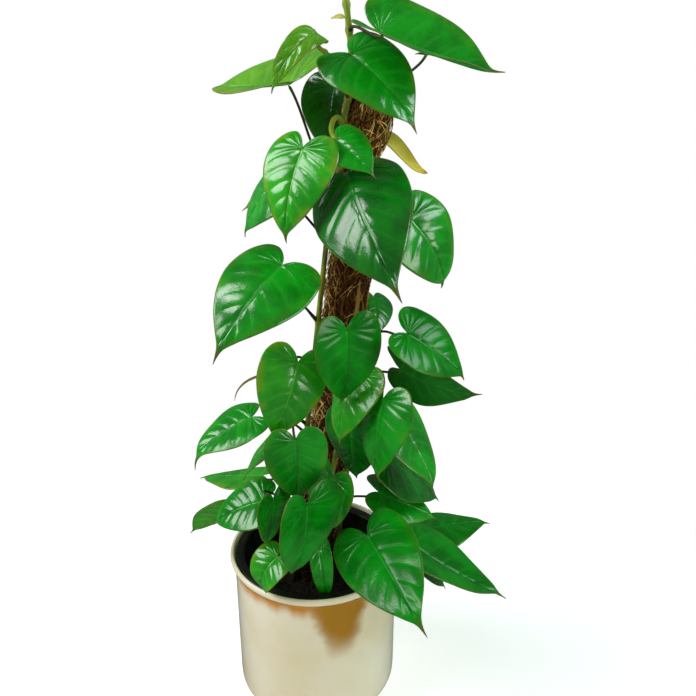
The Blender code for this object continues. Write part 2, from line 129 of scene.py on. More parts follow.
# Leaves: each blade hangs from its base, where the two lobes meet the stalk. Node is the height where the
# stalk leaves the vine and width is a share of the length. Heading, droop, roll and arch are in degrees,
# and fold is how steeply the halves rise from the midrib. Inline is how far the stalk arrives along the
# midrib and not from behind the blade.
Leaf = namedtuple("Leaf", "vine node base length width heading droop roll arch fold inline",
                  defaults=(0.3,))
LEAVES = {
    "leaf_01": Leaf("vine_main", 0.649, (0.057, -0.046, 0.646), 0.098, 0.74, 80, 22, -25, -9, 0.59),
    "leaf_02": Leaf("vine_main", 0.600, (0.036, -0.050, 0.631), 0.078, 0.82, 50, 25, -30, 48, 0.15),
    "leaf_03": Leaf("vine_main", 0.618, (0.010, -0.045, 0.645), 0.070, 0.30, -18, 0, 37, 150, 0.15),
    "leaf_04": Leaf("vine_main", 0.530, (-0.012, -0.010, 0.610), 0.106, 0.88, -135, 5, 21, -6, 0.43),
    "leaf_05": Leaf("vine_back", 0.580, (0.023, 0.040, 0.608), 0.068, 0.85, -12, 51, 7, 25, 0.04),
    "leaf_06": Leaf("vine_main", 0.580, (0.025, -0.065, 0.571), 0.045, 0.85, 45, 24, -30, 23, 0.19, 0.9),
    "leaf_07": Leaf("vine_main", 0.515, (0.000, -0.070, 0.565), 0.073, 0.86, -38, 53, 9, 45, 0.05),
    "leaf_08": Leaf("vine_main", 0.495, (-0.016, -0.036, 0.543), 0.075, 0.86, -105, 38, 37, 32, 0.05),
    "leaf_09": Leaf("vine_main", 0.480, (-0.022, 0.010, 0.522), 0.042, 0.70, -80, 15, 20, 20, 0.10),
    "leaf_10": Leaf("vine_main", 0.500, (0.033, -0.075, 0.546), 0.114, 0.70, 12, 25, -31, 43, -0.29),
    "leaf_11": Leaf("vine_back", 0.505, (0.086, -0.030, 0.504), 0.080, 0.86, 80, 44, -45, 60, 0.15),
    "leaf_12": Leaf("vine_main", 0.405, (-0.020, -0.056, 0.471), 0.098, 0.78, -32, 18, 22, 44, 0.00),
    "leaf_13": Leaf("vine_main", 0.360, (-0.008, -0.070, 0.391), 0.075, 0.85, -22, 60, 45, 40, 0.00),
    "leaf_14": Leaf("vine_front", 0.395, (0.033, -0.076, 0.422), 0.073, 0.86, 28, 84, 0, 28, 0.25),
    "leaf_15": Leaf("vine_front", 0.360, (0.044, -0.052, 0.372), 0.068, 0.87, -52, 46, -3, 45, -0.05),
    "leaf_16": Leaf("vine_right", 0.385, (0.084, -0.060, 0.413), 0.070, 0.86, 88, 30, -35, 24, 0.22),
    "leaf_17": Leaf("vine_right", 0.350, (0.081, -0.030, 0.368), 0.077, 0.86, 51, 16, 67, -31, 0.08),
    "leaf_18": Leaf("vine_front", 0.330, (0.064, -0.076, 0.360), 0.075, 0.87, -38, 65, -16, 29, -0.05),
    "leaf_19": Leaf("vine_right", 0.300, (0.079, -0.048, 0.330), 0.076, 0.86, 53, 50, 5, 10, 0.10),
    "leaf_20": Leaf("vine_right", 0.260, (0.070, -0.045, 0.283), 0.081, 0.87, 105, 35, -20, 21, 0.06),
    "leaf_21": Leaf("vine_main", 0.300, (-0.052, -0.060, 0.334), 0.064, 0.86, -68, 15, 8, 32, 0.12),
    "leaf_22": Leaf("vine_main", 0.270, (-0.036, -0.030, 0.300), 0.052, 0.86, -75, 45, -10, 16, 0.05),
    "leaf_23": Leaf("vine_main", 0.290, (-0.011, -0.086, 0.326), 0.064, 0.86, 15, 85, -4, 18, 0.30),
    "leaf_24": Leaf("vine_main", 0.235, (-0.055, 0.012, 0.232), 0.081, 0.86, -115, 13, -10, 5, 0.10),
    "leaf_25": Leaf("vine_main", 0.220, (-0.045, -0.050, 0.242), 0.063, 0.85, -88, 12, 28, 46, 0.15),
    "leaf_26": Leaf("vine_main", 0.185, (-0.082, -0.022, 0.216), 0.058, 0.86, -107, 33, -46, 15, 0.17),
    "leaf_27": Leaf("vine_main", 0.205, (-0.031, -0.095, 0.274), 0.055, 0.86, 27, 90, 32, 22, 0.22),
    "leaf_28": Leaf("vine_front", 0.178, (-0.001, -0.106, 0.275), 0.086, 0.86, 18, 88, 30, 30, 0.30),
    "leaf_29": Leaf("vine_front", 0.250, (0.020, -0.064, 0.276), 0.067, 0.86, -70, 70, 26, 44, 0.18),
    "leaf_30": Leaf("vine_main", 0.165, (-0.032, -0.075, 0.197), 0.048, 0.85, -53, 20, 13, 117, 0.28),
    "leaf_31": Leaf("vine_front", 0.165, (0.007, -0.059, 0.195), 0.065, 0.33, 11, 39, -6, 101, 0.22),
    "leaf_32": Leaf("vine_front", 0.195, (0.051, -0.100, 0.239), 0.103, 0.70, 22, 8, -26, 13, 0.10),
    "leaf_33": Leaf("vine_right", 0.175, (0.095, -0.060, 0.201), 0.101, 0.85, 73, 32, 10, -14, 0.30),
    "leaf_34": Leaf("vine_right", 0.160, (0.107, 0.006, 0.169), 0.083, 0.86, 105, -5, 3, 14, 0.01),
    "leaf_35": Leaf("vine_right", 0.220, (0.063, -0.046, 0.249), 0.067, 0.80, 92, 26, -14, 6, 0.05),
    "leaf_36": Leaf("vine_front", 0.300, (0.036, -0.045, 0.321), 0.068, 0.86, -10, 92, -20, 20, 0.00),
    "leaf_37": Leaf("vine_back", 0.390, (0.059, 0.047, 0.413), 0.047, 0.85, 11, 23, 15, 40, 0.00),
    "leaf_38": Leaf("vine_back", 0.595, (0.098, 0.012, 0.634), 0.036, 0.86, 100, -5, 6, 25, 0.15),
    "leaf_39": Leaf("vine_right", 0.150, (0.107, -0.045, 0.172), 0.043, 0.80, 85, 45, -9, 20, 0.07),
    "leaf_40": Leaf("vine_back", 0.540, (0.033, 0.062, 0.540), 0.078, 0.86, 160, 56, -14, 35, 0.15),
    "leaf_41": Leaf("vine_back", 0.460, (0.055, 0.055, 0.506), 0.083, 0.86, 200, 50, -7, 35, 0.15),
    "leaf_42": Leaf("vine_back", 0.340, (0.029, 0.066, 0.359), 0.084, 0.86, 215, 36, 0, 35, 0.15),
    "leaf_43": Leaf("vine_back", 0.270, (0.042, 0.075, 0.307), 0.084, 0.86, 145, 54, -11, 35, 0.15),
    "leaf_44": Leaf("vine_back", 0.200, (0.003, 0.056, 0.224), 0.084, 0.86, 153, 45, -17, 30, 0.15),
    "leaf_45": Leaf("vine_back", 0.150, (-0.012, 0.050, 0.196), 0.064, 0.86, 200, 14, -5, 30, 0.15),
}

# A leaf's age, which sets its green, how far its tip curls down, how wavy its margin is, how stout its
# stalk is, and how deeply it is quilted between the veins; the rest are "grown" with a slight curl
Look = namedtuple("Look", "age curl wave stout quilt", defaults=(1.0, 1.0, 1.0))
LOOKS = {
    "leaf_01": Look("grown", -0.35, quilt=0.7), "leaf_02": Look("grown", 0.45, quilt=1.2),
    "leaf_03": Look("young", 0.4, stout=1.5, quilt=2.0), "leaf_04": Look("young", 0.1, wave=0.15),
    "leaf_05": Look("old", 0.2), "leaf_06": Look("grown", 0.5, wave=0.7, stout=1.8),
    "leaf_07": Look("fresh", 0.4, quilt=2.6), "leaf_09": Look("faded", 0.3),
    "leaf_10": Look("old", 0.5, quilt=2.0), "leaf_11": Look("grown", 0.5, quilt=1.6),
    "leaf_12": Look("grown", 1.0), "leaf_13": Look("fresh", 0.6), "leaf_14": Look("deep", 0.45),
    "leaf_15": Look("fresh", 0.6), "leaf_16": Look("deep", 0.6, quilt=1.3), "leaf_17": Look("old", -0.4),
    "leaf_19": Look("grown", 0.9), "leaf_20": Look("old", 0.2), "leaf_21": Look("grown", 2.0, quilt=2.5),
    "leaf_22": Look("fresh", 0.3), "leaf_24": Look("fresh", 0.2),
    "leaf_25": Look("grown", 0.3, quilt=2.3), "leaf_26": Look("fresh", 0.1),
    "leaf_28": Look("deep", 0.45), "leaf_30": Look("fresh", 0.3, quilt=1.5),
    "leaf_32": Look("deep", 1.0, quilt=0.6), "leaf_33": Look("deep", 0.1), "leaf_34": Look("deep", 0.45),
    "leaf_36": Look("old", 0.2), "leaf_37": Look("old", 0.2, quilt=0.3), "leaf_38": Look("old", 0.2),
    "leaf_39": Look("old", 0.2),
}
GROWN = Look("grown", 0.45)

# Dry sheaths that wrapped young leaves: a strap along a curve from the vine to its tip
SHEATH_THICKNESS = 0.0004
SHEATH_ROWS = 28
Sheath = namedtuple("Sheath", "vine node points half_width face")
SHEATHS = {
    "sheath_right": Sheath("vine_back", 0.571, ((0.080, 0.020, 0.570), (0.081, -0.014, 0.544),
                                                (0.101, -0.010, 0.539)), 0.0075, (0.3, -1.0, 0.2)),
    "sheath_curled": Sheath("vine_main", 0.340, ((-0.028, -0.030, 0.372), (-0.066, -0.042, 0.368),
                                                 (-0.068, -0.042, 0.342)), 0.0015, (0.0, -1.0, 0.4)),
    "sheath_tip": Sheath("vine_main", 0.657, ((0.029, -0.023, 0.659), (0.026, -0.024, 0.659),
                                              (0.021, -0.025, 0.657)), 0.0020, (0.0, -1.0, 0.3)),
    "sheath_front": Sheath("vine_front", 0.385, ((0.037, -0.036, 0.392), (0.043, -0.034, 0.428),
                                                 (0.0445, -0.0250, 0.450)), 0.0028, (0.4, -1.0, 0.0)),
}
WITHERED = ("sheath_curled", "sheath_front")
SPEAR_LENGTH = 0.034
SPEAR_RADIUS = 0.0030

# Loose fibres round the pole and over its top, and crumbs on the soil
FIBRES = 2750
TOP_FIBRES = 220
CRUMBS = 260

# Lamps: heading from the front and elevation in degrees, distance, width, height, power and colour,
# and whether the lamp shows in shiny surfaces
Lamp = namedtuple("Lamp", "heading elevation distance width height power colour shines",
                  defaults=((1.0, 1.0, 1.0), True))
LAMPS = {
    "left_window": Lamp(-82, 34, 1.6, 1.20, 0.80, 14.0),
    "left_fill": Lamp(-84, 36, 1.6, 1.20, 1.00, 12.0, (0.84, 0.94, 1.0), False),
    "right_window": Lamp(76, 38, 1.6, 0.75, 0.55, 6.5, (0.86, 0.98, 1.0)),
    "top_softbox": Lamp(-66, 64, 1.4, 0.42, 0.28, 2.8),
    "low_window": Lamp(56, 8, 1.8, 0.70, 0.80, 7.0, (0.90, 0.96, 0.86)),
    "right_fill": Lamp(104, 26, 1.6, 0.80, 0.80, 11.0, (0.70, 0.94, 1.0), False),
    "front_fill": Lamp(4, 24, 2.0, 1.30, 1.10, 6.5, (1.0, 0.80, 0.20), False),
}
LIT_MIDDLE = Vector((0.01, -0.02, 0.38))
CAMERA_PLACE = (0.034, -0.630, 0.620)
CAMERA_DOWN = math.radians(21.1)
CAMERA_LENS = 37.24
CAMERA_SENSOR = 36


# ---------------------------------------------------------------- shader helpers

def put(tree, kind, inputs=None, **settings):
    """A shader node with its settings; an input is a value or another node's output."""
    made = tree.nodes.new("ShaderNode" + kind)
    for key, value in settings.items():
        setattr(made, key, value)
    for key, value in (inputs or {}).items():
        if isinstance(value, bpy.types.NodeSocket):
            tree.links.new(value, made.inputs[key])
        else:
            made.inputs[key].default_value = value
    return made


def maths(tree, operation, *values):
    return put(tree, "Math", dict(enumerate(values)), operation=operation).outputs[0]


def times(tree, first, second):
    return maths(tree, "MULTIPLY", first, second)


def spread(tree, value, low, high):
    """A value from 0 to 1, spread evenly from low to high."""
    return put(tree, "MapRange", {"Value": value, "To Min": low, "To Max": high}).outputs[0]


def eased(tree, value, low, high):
    """0 at low and 1 at high, with a soft start and end."""
    node = put(tree, "MapRange", {"Value": value, "From Min": low, "From Max": high},
               interpolation_type="SMOOTHSTEP")
    return node.outputs["Result"]


def mixed(tree, share, first, second):
    """A colour between two colours; a colour is a triple or an output."""
    node = put(tree, "Mix", data_type="RGBA")
    for socket, value in zip((node.inputs[0], node.inputs[6], node.inputs[7]), (share, first, second)):
        if isinstance(value, bpy.types.NodeSocket):
            tree.links.new(value, socket)
        else:
            socket.default_value = (*value, 1.0) if isinstance(value, tuple) else value
    return node.outputs[2]


def ramp(tree, value, stops):
    """A grey or colour ramp through (place, value) stops."""
    node = put(tree, "ValToRGB", {"Fac": value})
    band = node.color_ramp
    while len(band.elements) > 1:
        band.elements.remove(band.elements[0])
    for index, (place, shade) in enumerate(stops):
        stop = band.elements[0] if index == 0 else band.elements.new(place)
        stop.position = place
        stop.color = (*shade, 1.0) if isinstance(shade, tuple) else (shade, shade, shade, 1.0)
    return node.outputs["Color"]


def coordinates(tree, kind="Object"):
    """A point's three coordinates, in the piece's own frame or on its UV map."""
    return put(tree, "SeparateXYZ", {0: put(tree, "TexCoord").outputs[kind]}).outputs


def off_middle(tree, u):
    """0 on a blade's or a strap's middle line and 1 at its two edges, from its U coordinate."""
    return maths(tree, "ABSOLUTE", maths(tree, "MULTIPLY_ADD", u, 2.0, -1.0))


def grain(tree, scale, detail=3.0, roughness=0.55, stretch=None):
    """Noise on a piece's own coordinates."""
    coords = put(tree, "TexCoord").outputs["Object"]
    if stretch:
        coords = put(tree, "Mapping", {"Vector": coords, "Scale": stretch}).outputs[0]
    node = put(tree, "TexNoise", {"Vector": coords, "Scale": scale, "Detail": detail,
                                  "Roughness": roughness})
    return node.outputs[0]


def bumped(tree, height, strength, distance, normal=None):
    inputs = {"Strength": strength, "Distance": distance, "Height": height}
    if normal:
        inputs["Normal"] = normal
    return put(tree, "Bump", inputs).outputs[0]


def finish_named(name, **values):
    """A new material and its node tree, with its main shader's plain values set."""
    made = bpy.data.materials.new(name)
    made.use_nodes = True
    shader = made.node_tree.nodes["Principled BSDF"]
    for key, value in values.items():
        shader.inputs[key.replace("_", " ")].default_value = value
    return made, made.node_tree


def wired(made, **sources):
    """The material, with node outputs joined to its main shader's sockets."""
    shader = made.node_tree.nodes["Principled BSDF"]
    for key, source in sources.items():
        made.node_tree.links.new(source, shader.inputs[key.replace("_", " ")])
    return made


# ---------------------------------------------------------------- finishes

AGES = {  # (dark green, clear green, vein colour, how yellow the sun has turned its edges)
    "old": ((0.001, 0.085, 0.003), (0.002, 0.170, 0.005), (0.015, 0.25, 0.020), 0.03),
    "deep": ((0.001, 0.135, 0.004), (0.002, 0.250, 0.006), (0.015, 0.33, 0.024), 0.05),
    "grown": ((0.001, 0.175, 0.004), (0.003, 0.315, 0.007), (0.030, 0.40, 0.030), 0.14),
    "fresh": ((0.006, 0.245, 0.005), (0.020, 0.390, 0.009), (0.120, 0.50, 0.045), 0.50),
    "young": ((0.060, 0.300, 0.005), (0.120, 0.400, 0.010), (0.240, 0.50, 0.060), 0.50),
    "faded": ((0.060, 0.110, 0.006), (0.110, 0.160, 0.010), (0.200, 0.26, 0.040), 0.90),
}
MARGIN = (0.110, 0.150, 0.010)
TIP = (0.130, 0.070, 0.008)
SUNNED = (0.260, 0.300, 0.010)
# Colour of the painted shade at the plant's foot
FOOT_SHADE = (0.006, 0.005, 0.002)
VEIN_REACH = 0.016


def leaf_finish(age, under=False):
    """Waxy leaf skin: U runs from margin to margin across the midrib and V along the margin to the tip."""
    dark, clear, vein, sunned = AGES[age]
    if under:
        dark, clear = (tuple(0.75 * v + 0.25 * w + 0.003 for v, w in zip(shade, vein))
                       for shade in (dark, clear))
    dull = under or age == "deep"
    made, tree = finish_named(f"leaf_{age}_{'under' if under else 'upper'}",
                              IOR=1.38 if under else 1.45 if dull else 1.57,
                              Specular_IOR_Level=0.5 if dull else 0.8)
    u, along = coordinates(tree, "UV")[:2]
    across = off_middle(tree, u)
    stops = [(0.0, 0.0)]
    for place in VEINS[1:-1]:
        stops += [(place - VEIN_REACH, 0.0), (place, 1.0), (place + VEIN_REACH, 0.0)]
    lines = times(tree, ramp(tree, along, stops), eased(tree, across, 0.97, 0.55))
    rib = eased(tree, across, 0.050, 0.012)
    edge = eased(tree, across, 0.976, 0.994)
    tip = eased(tree, along, 0.91, 0.97)
    colour = mixed(tree, eased(tree, grain(tree, 38, 4.0), 0.32, 0.68), dark, clear)
    freckle = eased(tree, grain(tree, 900, 2.0), 0.5, 0.75)
    patches = eased(tree, grain(tree, 55, 2.0), 0.42, 0.58)
    colour = mixed(tree, times(tree, freckle, 0.25), colour, vein)
    colour = mixed(tree, times(tree, lines, 0.75 if under else 0.25), colour, vein)
    colour = mixed(tree, times(tree, rib, 0.55), colour, vein)
    yellowed = times(tree, times(tree, eased(tree, across, 0.70, 0.99), patches), sunned)
    colour = mixed(tree, yellowed, colour, SUNNED)
    colour = mixed(tree, times(tree, edge, 0.85), colour, MARGIN)
    colour = mixed(tree, times(tree, tip, 0.8), colour, TIP)
    smoothest = 0.43 if under else 0.11
    rough = spread(tree, grain(tree, 160, 3.0), smoothest, smoothest + 0.12)
    facing = put(tree, "LayerWeight", {"Blend": 0.5}).outputs["Facing"]
    rough = maths(tree, "MULTIPLY_ADD", eased(tree, facing, 0.42, 0.84), 0.42, rough)
    height = maths(tree, "ADD", times(tree, lines, 0.6 if under else -0.6),
                   times(tree, rib, 1.0 if under else -1.0))
    net = put(tree, "TexVoronoi", {"Vector": put(tree, "TexCoord").outputs["Object"], "Scale": 520.0},
              feature="DISTANCE_TO_EDGE").outputs["Distance"]
    normal = bumped(tree, height, 0.6, 0.0006)
    normal = bumped(tree, eased(tree, net, 0.0, 0.25), 0.12, 0.0002, normal)
    normal = bumped(tree, grain(tree, 300, 4.0), 0.25, 0.0005, normal)
    return wired(made, Base_Color=colour, Roughness=rough, Normal=normal)


def margin_finish():
    made, tree = finish_named("leaf_margin", Roughness=0.45)
    patch = eased(tree, grain(tree, 120), 0.35, 0.65)
    return wired(made, Base_Color=mixed(tree, patch, (0.12, 0.17, 0.010), (0.15, 0.13, 0.010)))


def painted_foot_shade(tree):
    """Painted shade at the plant's foot, darker towards the soil: strongest in the soil, 0 well above the
    rim.
    """
    return times(tree, eased(tree, coordinates(tree)[2], 0.235, 0.150), 0.92)


def stalk_finish(young=False):
    """Leaf stalk: V runs from the vine to the blade; a young one is yellow-green."""
    made, tree = finish_named("young_stalk" if young else "leaf_stalk", Roughness=0.48,
                              Specular_IOR_Level=0.25)
    along = coordinates(tree, "UV")[1]
    streak = grain(tree, 500, 3.0, stretch=(1.0, 1.0, 0.15))
    stops = [(0.0, (0.085, 0.090, 0.016)), (0.10, (0.035, 0.035, 0.008)), (0.55, (0.018, 0.022, 0.006)),
             (0.86, (0.030, 0.060, 0.008)), (0.97, (0.080, 0.200, 0.020))]
    if young:
        stops = [(0.0, (0.14, 0.20, 0.015)), (0.6, (0.26, 0.32, 0.030)), (1.0, (0.20, 0.36, 0.030))]
    colour = mixed(tree, times(tree, eased(tree, streak, 0.4, 0.7), 0.35), ramp(tree, along, stops),
                   (0.10, 0.085, 0.020))
    return wired(made, Base_Color=colour, Normal=bumped(tree, streak, 0.3, 0.0003))


def vine_finish():
    """Vine skin: green with dark streaks, fresher at the top, and tan at the scars the attribute marks."""
    made, tree = finish_named("vine_skin", Roughness=0.42, Coat_Weight=0.15, Coat_Roughness=0.3)
    scar = put(tree, "Attribute", attribute_name="scar").outputs["Fac"]
    streak = grain(tree, 420, 4.0, stretch=(1.0, 1.0, 0.12))
    patch = eased(tree, grain(tree, 45, 2.0), 0.35, 0.65)
    fresh = eased(tree, coordinates(tree)[2], 0.610, 0.665)
    colour = mixed(tree, patch, (0.110, 0.170, 0.012), (0.290, 0.340, 0.030))
    colour = mixed(tree, times(tree, eased(tree, streak, 0.45, 0.7), 0.55), colour, (0.028, 0.024, 0.006))
    colour = mixed(tree, times(tree, fresh, 0.8), colour, (0.250, 0.400, 0.035))
    colour = mixed(tree, scar, colour, (0.33, 0.20, 0.055))
    # Painted shade: darker towards the plant's foot, where the pot and the leaves shade it
    colour = mixed(tree, painted_foot_shade(tree), colour, FOOT_SHADE)
    return wired(made, Base_Color=colour, Normal=bumped(tree, streak, 0.5, 0.0006))


def fibre_finish(name, dark, light, roughness=0.75):
    """Dry coir or root fibre, lighter and darker along each strand."""
    made, tree = finish_named(name, Roughness=roughness, Specular_IOR_Level=0.15)
    colour = mixed(tree, eased(tree, grain(tree, 140, 3.0), 0.35, 0.65), dark, light)
    # Painted shade: darker towards the plant's foot, where the pot and the leaves shade it
    colour = mixed(tree, painted_foot_shade(tree), colour, FOOT_SHADE)
    return wired(made, Base_Color=colour, Normal=bumped(tree, grain(tree, 2500, 2.0), 0.4, 0.0003))


def sleeve_finish():
    """Matted coir under the loose fibres, with golden strands near the top: partly the coir's own colour,
    partly painted light.
    """
    made, tree = finish_named("coir_mat", Roughness=0.95, Specular_IOR_Level=0.1)
    strand = grain(tree, 700, 5.0, 0.7, stretch=(1.0, 1.0, 0.35))
    patch = eased(tree, grain(tree, 60, 3.0), 0.5, 0.8)
    # Golden strands near the top: partly the coir's own colour, partly painted light on the top standing
    # above the leaves' shade
    upper = eased(tree, coordinates(tree)[2], 0.50, 0.57)
    colour = mixed(tree, eased(tree, strand, 0.38, 0.66), (0.010, 0.004, 0.002), (0.150, 0.055, 0.014))
    colour = mixed(tree, times(tree, patch, 0.5), colour, (0.055, 0.018, 0.006))
    colour = mixed(tree, times(tree, upper, eased(tree, strand, 0.46, 0.66)), colour, (0.36, 0.18, 0.040))
    # Painted shade: darker towards the plant's foot, where the pot and the leaves shade it
    colour = mixed(tree, painted_foot_shade(tree), colour, FOOT_SHADE)
    return wired(made, Base_Color=colour, Normal=bumped(tree, strand, 0.9, 0.0012))


def timber_finish():
    """Round pole of pale softwood with grain along it."""
    made, tree = finish_named("pole_timber", Roughness=0.7)
    rings = grain(tree, 260, 4.0, stretch=(1.0, 1.0, 0.05))
    colour = mixed(tree, eased(tree, rings, 0.35, 0.7), (0.46, 0.31, 0.16), (0.24, 0.14, 0.06))
    return wired(made, Base_Color=colour, Normal=bumped(tree, rings, 0.4, 0.0004))


def glaze_finish():
    """Clouded cream glaze with tiny dark specks, and painted shade: an orange band under the lip and an
    ochre painted shadow down the front.
    """
    made, tree = finish_named("cream_glaze", Coat_Weight=0.6, Coat_Roughness=0.06)
    cloud = grain(tree, 14, 3.0)
    speck = eased(tree, grain(tree, 900, 1.0), 0.70, 0.80)
    colour = mixed(tree, eased(tree, cloud, 0.3, 0.7), (0.80, 0.71, 0.50), (0.86, 0.80, 0.65))
    colour = mixed(tree, times(tree, speck, 0.35), colour, (0.45, 0.34, 0.20))
    place = coordinates(tree)
    under_lip = eased(tree, place[2], RIM_HEIGHT - 0.0050, RIM_HEIGHT - 0.0082)
    # Painted shade under the lip: an orange band with a wavering lower edge, strongest at the front-left
    shade_edge_wobble = grain(tree, 34, 2.0, stretch=(1.0, 1.0, 0.06))
    level = maths(tree, "ADD", place[2], maths(tree, "MULTIPLY_ADD", shade_edge_wobble, 0.036, -0.018))
    painted_lip_shade = times(tree, eased(tree, level, RIM_HEIGHT - 0.0290, RIM_HEIGHT - 0.0120), under_lip)
    leftward = put(tree, "MapRange", {"Value": place[0], "From Min": 0.075, "From Max": -0.010,
                                      "To Min": 0.40, "To Max": 1.0}).outputs[0]
    colour = mixed(tree, times(tree, painted_lip_shade, leftward), colour, (0.62, 0.25, 0.020))
    # Painted shadow: an ochre patch down the pot's front below the lip, where the low leaves shade it, with
    # wandering edges
    wander = maths(tree, "MULTIPLY_ADD", grain(tree, 40, 3.0), 2 * PAINTED_SHADOW_WANDER, -PAINTED_SHADOW_WANDER - PAINTED_SHADOW_CENTRE)
    wide = maths(tree, "DIVIDE", maths(tree, "ADD", place[0], wander), PAINTED_SHADOW_HALF_WIDTH)
    deep = maths(tree, "DIVIDE", maths(tree, "SUBTRACT", place[2], RIM_HEIGHT - 0.0080), PAINTED_SHADOW_DEPTH)
    away = maths(tree, "ADD", times(tree, wide, wide), times(tree, deep, deep))
    run = times(tree, eased(tree, away, 1.15, 0.30), under_lip)
    run = times(tree, run, eased(tree, place[1], -0.040, -0.060))
    colour = mixed(tree, run, colour, (0.42, 0.20, 0.006))
    return wired(made, Base_Color=colour, Roughness=spread(tree, cloud, 0.14, 0.24),
                 Normal=bumped(tree, grain(tree, 120, 2.0), 0.10, 0.0006))


def plastic_finish():
    made, tree = finish_named("liner_plastic", Specular_IOR_Level=0.35)
    scuff = grain(tree, 90, 4.0, stretch=(1.0, 1.0, 0.3))
    colour = mixed(tree, eased(tree, scuff, 0.45, 0.8), (0.006, 0.007, 0.005), (0.018, 0.018, 0.014))
    return wired(made, Base_Color=colour, Roughness=spread(tree, scuff, 0.25, 0.5))


def soil_finish():
    made, tree = finish_named("potting_soil", Roughness=0.95)
    crumb = grain(tree, 420, 5.0, 0.7)
    colour = mixed(tree, eased(tree, crumb, 0.35, 0.7), (0.003, 0.002, 0.001), (0.018, 0.010, 0.004))
    return wired(made, Base_Color=colour, Normal=bumped(tree, crumb, 0.9, 0.0015))


def sheath_finish(withered=False):
    """Papery sheath, browner towards its tip: yellow with fine lines, or olive brown once withered."""
    made, tree = finish_named("withered_sheath" if withered else "yellow_sheath", Roughness=0.55)
    u, along = coordinates(tree, "UV")[:2]
    lines = put(tree, "TexWave", {"Vector": put(tree, "TexCoord").outputs["UV"], "Scale": 5.0,
                                  "Distortion": 2.0, "Detail": 3.0}).outputs["Fac"]
    stops = [(0.0, (0.78, 0.84, 0.120)), (0.50, (0.96, 0.92, 0.170)), (0.90, (0.90, 0.76, 0.100)),
             (1.0, (0.45, 0.24, 0.025))]
    line_colour = (0.56, 0.46, 0.050)
    if withered:
        stops = [(0.0, (0.20, 0.22, 0.030)), (0.50, (0.34, 0.24, 0.040)), (1.0, (0.28, 0.11, 0.015))]
        line_colour = (0.18, 0.11, 0.020)
    colour = mixed(tree, times(tree, lines, 0.25), ramp(tree, along, stops), line_colour)
    edge = eased(tree, off_middle(tree, u), 0.86, 0.97)
    colour = mixed(tree, times(tree, edge, 0.8), colour, (0.30, 0.17, 0.025))
    return wired(made, Base_Color=colour, Normal=bumped(tree, lines, 0.3, 0.0004))


# ---------------------------------------------------------------- modelling helpers

def start():
    """Object mode with nothing selected, before each new piece."""
    if bpy.context.mode != "OBJECT":
        bpy.ops.object.mode_set(mode="OBJECT")
    bpy.ops.object.select_all(action="DESELECT")


def corners(piece):
    places = np.empty(len(piece.data.vertices) * 3)
    piece.data.vertices.foreach_get("co", places)
    return places.reshape(-1, 3)


def move_corners(piece, places):
    piece.data.vertices.foreach_set("co", np.asarray(places, float).ravel())
    piece.data.update()


def weld(turn_out=True, distance=2e-6):
    """The new piece's doubles merged and, on a closed shape, its faces turned outwards."""
    bpy.ops.object.mode_set(mode="EDIT")
    bpy.ops.mesh.select_all(action="SELECT")
    bpy.ops.mesh.remove_doubles(threshold=distance)
    if turn_out:
        bpy.ops.mesh.normals_make_consistent(inside=False)
    bpy.ops.object.mode_set(mode="OBJECT")


def apply_modifier(piece, kind, **settings):
    modifier = piece.modifiers.new(kind.lower(), kind)
    for key, value in settings.items():
        setattr(modifier, key, value)
    bpy.context.view_layer.objects.active = piece
    bpy.ops.object.modifier_apply(modifier=modifier.name)


def joined(pieces):
    """Several objects made one, under the first one's name."""
    start()
    for piece in pieces:
        piece.select_set(True)
    bpy.context.view_layer.objects.active = pieces[0]
    bpy.ops.object.join()
    return bpy.context.object


def finished(piece, name, nodes):
    """Names a piece, hides the CAD nodes it stands for, and hangs it from the root body."""
    piece.name = name
    piece.data.name = name
    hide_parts(*nodes)
    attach(piece, "root")


def turned(profile, material, steps=POT_STEPS, smoothings=1):
    """A ring extruded and resized along a (radius, height) profile, with its two small ends closed."""
    start()
    radius, height = profile[0]
    bpy.ops.mesh.primitive_circle_add(vertices=steps, radius=radius, location=(0, 0, height))
    piece = bpy.context.object
    bpy.ops.object.mode_set(mode="EDIT")
    bpy.ops.mesh.select_all(action="SELECT")
    for next_radius, next_height in profile[1:]:
        bpy.ops.mesh.extrude_region_move(TRANSFORM_OT_translate={"value": (0, 0, next_height - height)})
        share = next_radius / radius
        bpy.ops.transform.resize(value=(share, share, 1), center_override=(0, 0, next_height))
        radius, height = next_radius, next_height
    bpy.ops.mesh.select_all(action="SELECT")
    bpy.ops.mesh.fill_holes(sides=0)
    bpy.ops.mesh.normals_make_consistent(inside=False)
    bpy.ops.object.mode_set(mode="OBJECT")
    bpy.ops.object.transform_apply(location=True)
    piece.data.materials.append(material)
    if smoothings:
        apply_modifier(piece, "SUBSURF", levels=smoothings, render_levels=smoothings)
    bpy.ops.object.shade_smooth()
    return piece


def carried_frames(line):
    """Two directions square to a line at each of its points, turning as little as they can."""
    runs = np.gradient(line, axis=0)
    for end, inner in ((0, 1), (-1, -2)):
        if np.linalg.norm(runs[end]) < 1e-9:
            runs[end] = runs[inner]
    runs /= np.linalg.norm(runs, axis=1)[:, None]
    first = np.cross(runs[0], (0.0, 0.0, 1.0) if abs(runs[0][2]) < 0.9 else (0.0, 1.0, 0.0))
    sides = [first / np.linalg.norm(first)]
    for run in runs[1:]:
        side = sides[-1] - run * np.dot(sides[-1], run)
        sides.append(side / np.linalg.norm(side))
    sides = np.array(sides)
    return sides, np.cross(runs, sides)


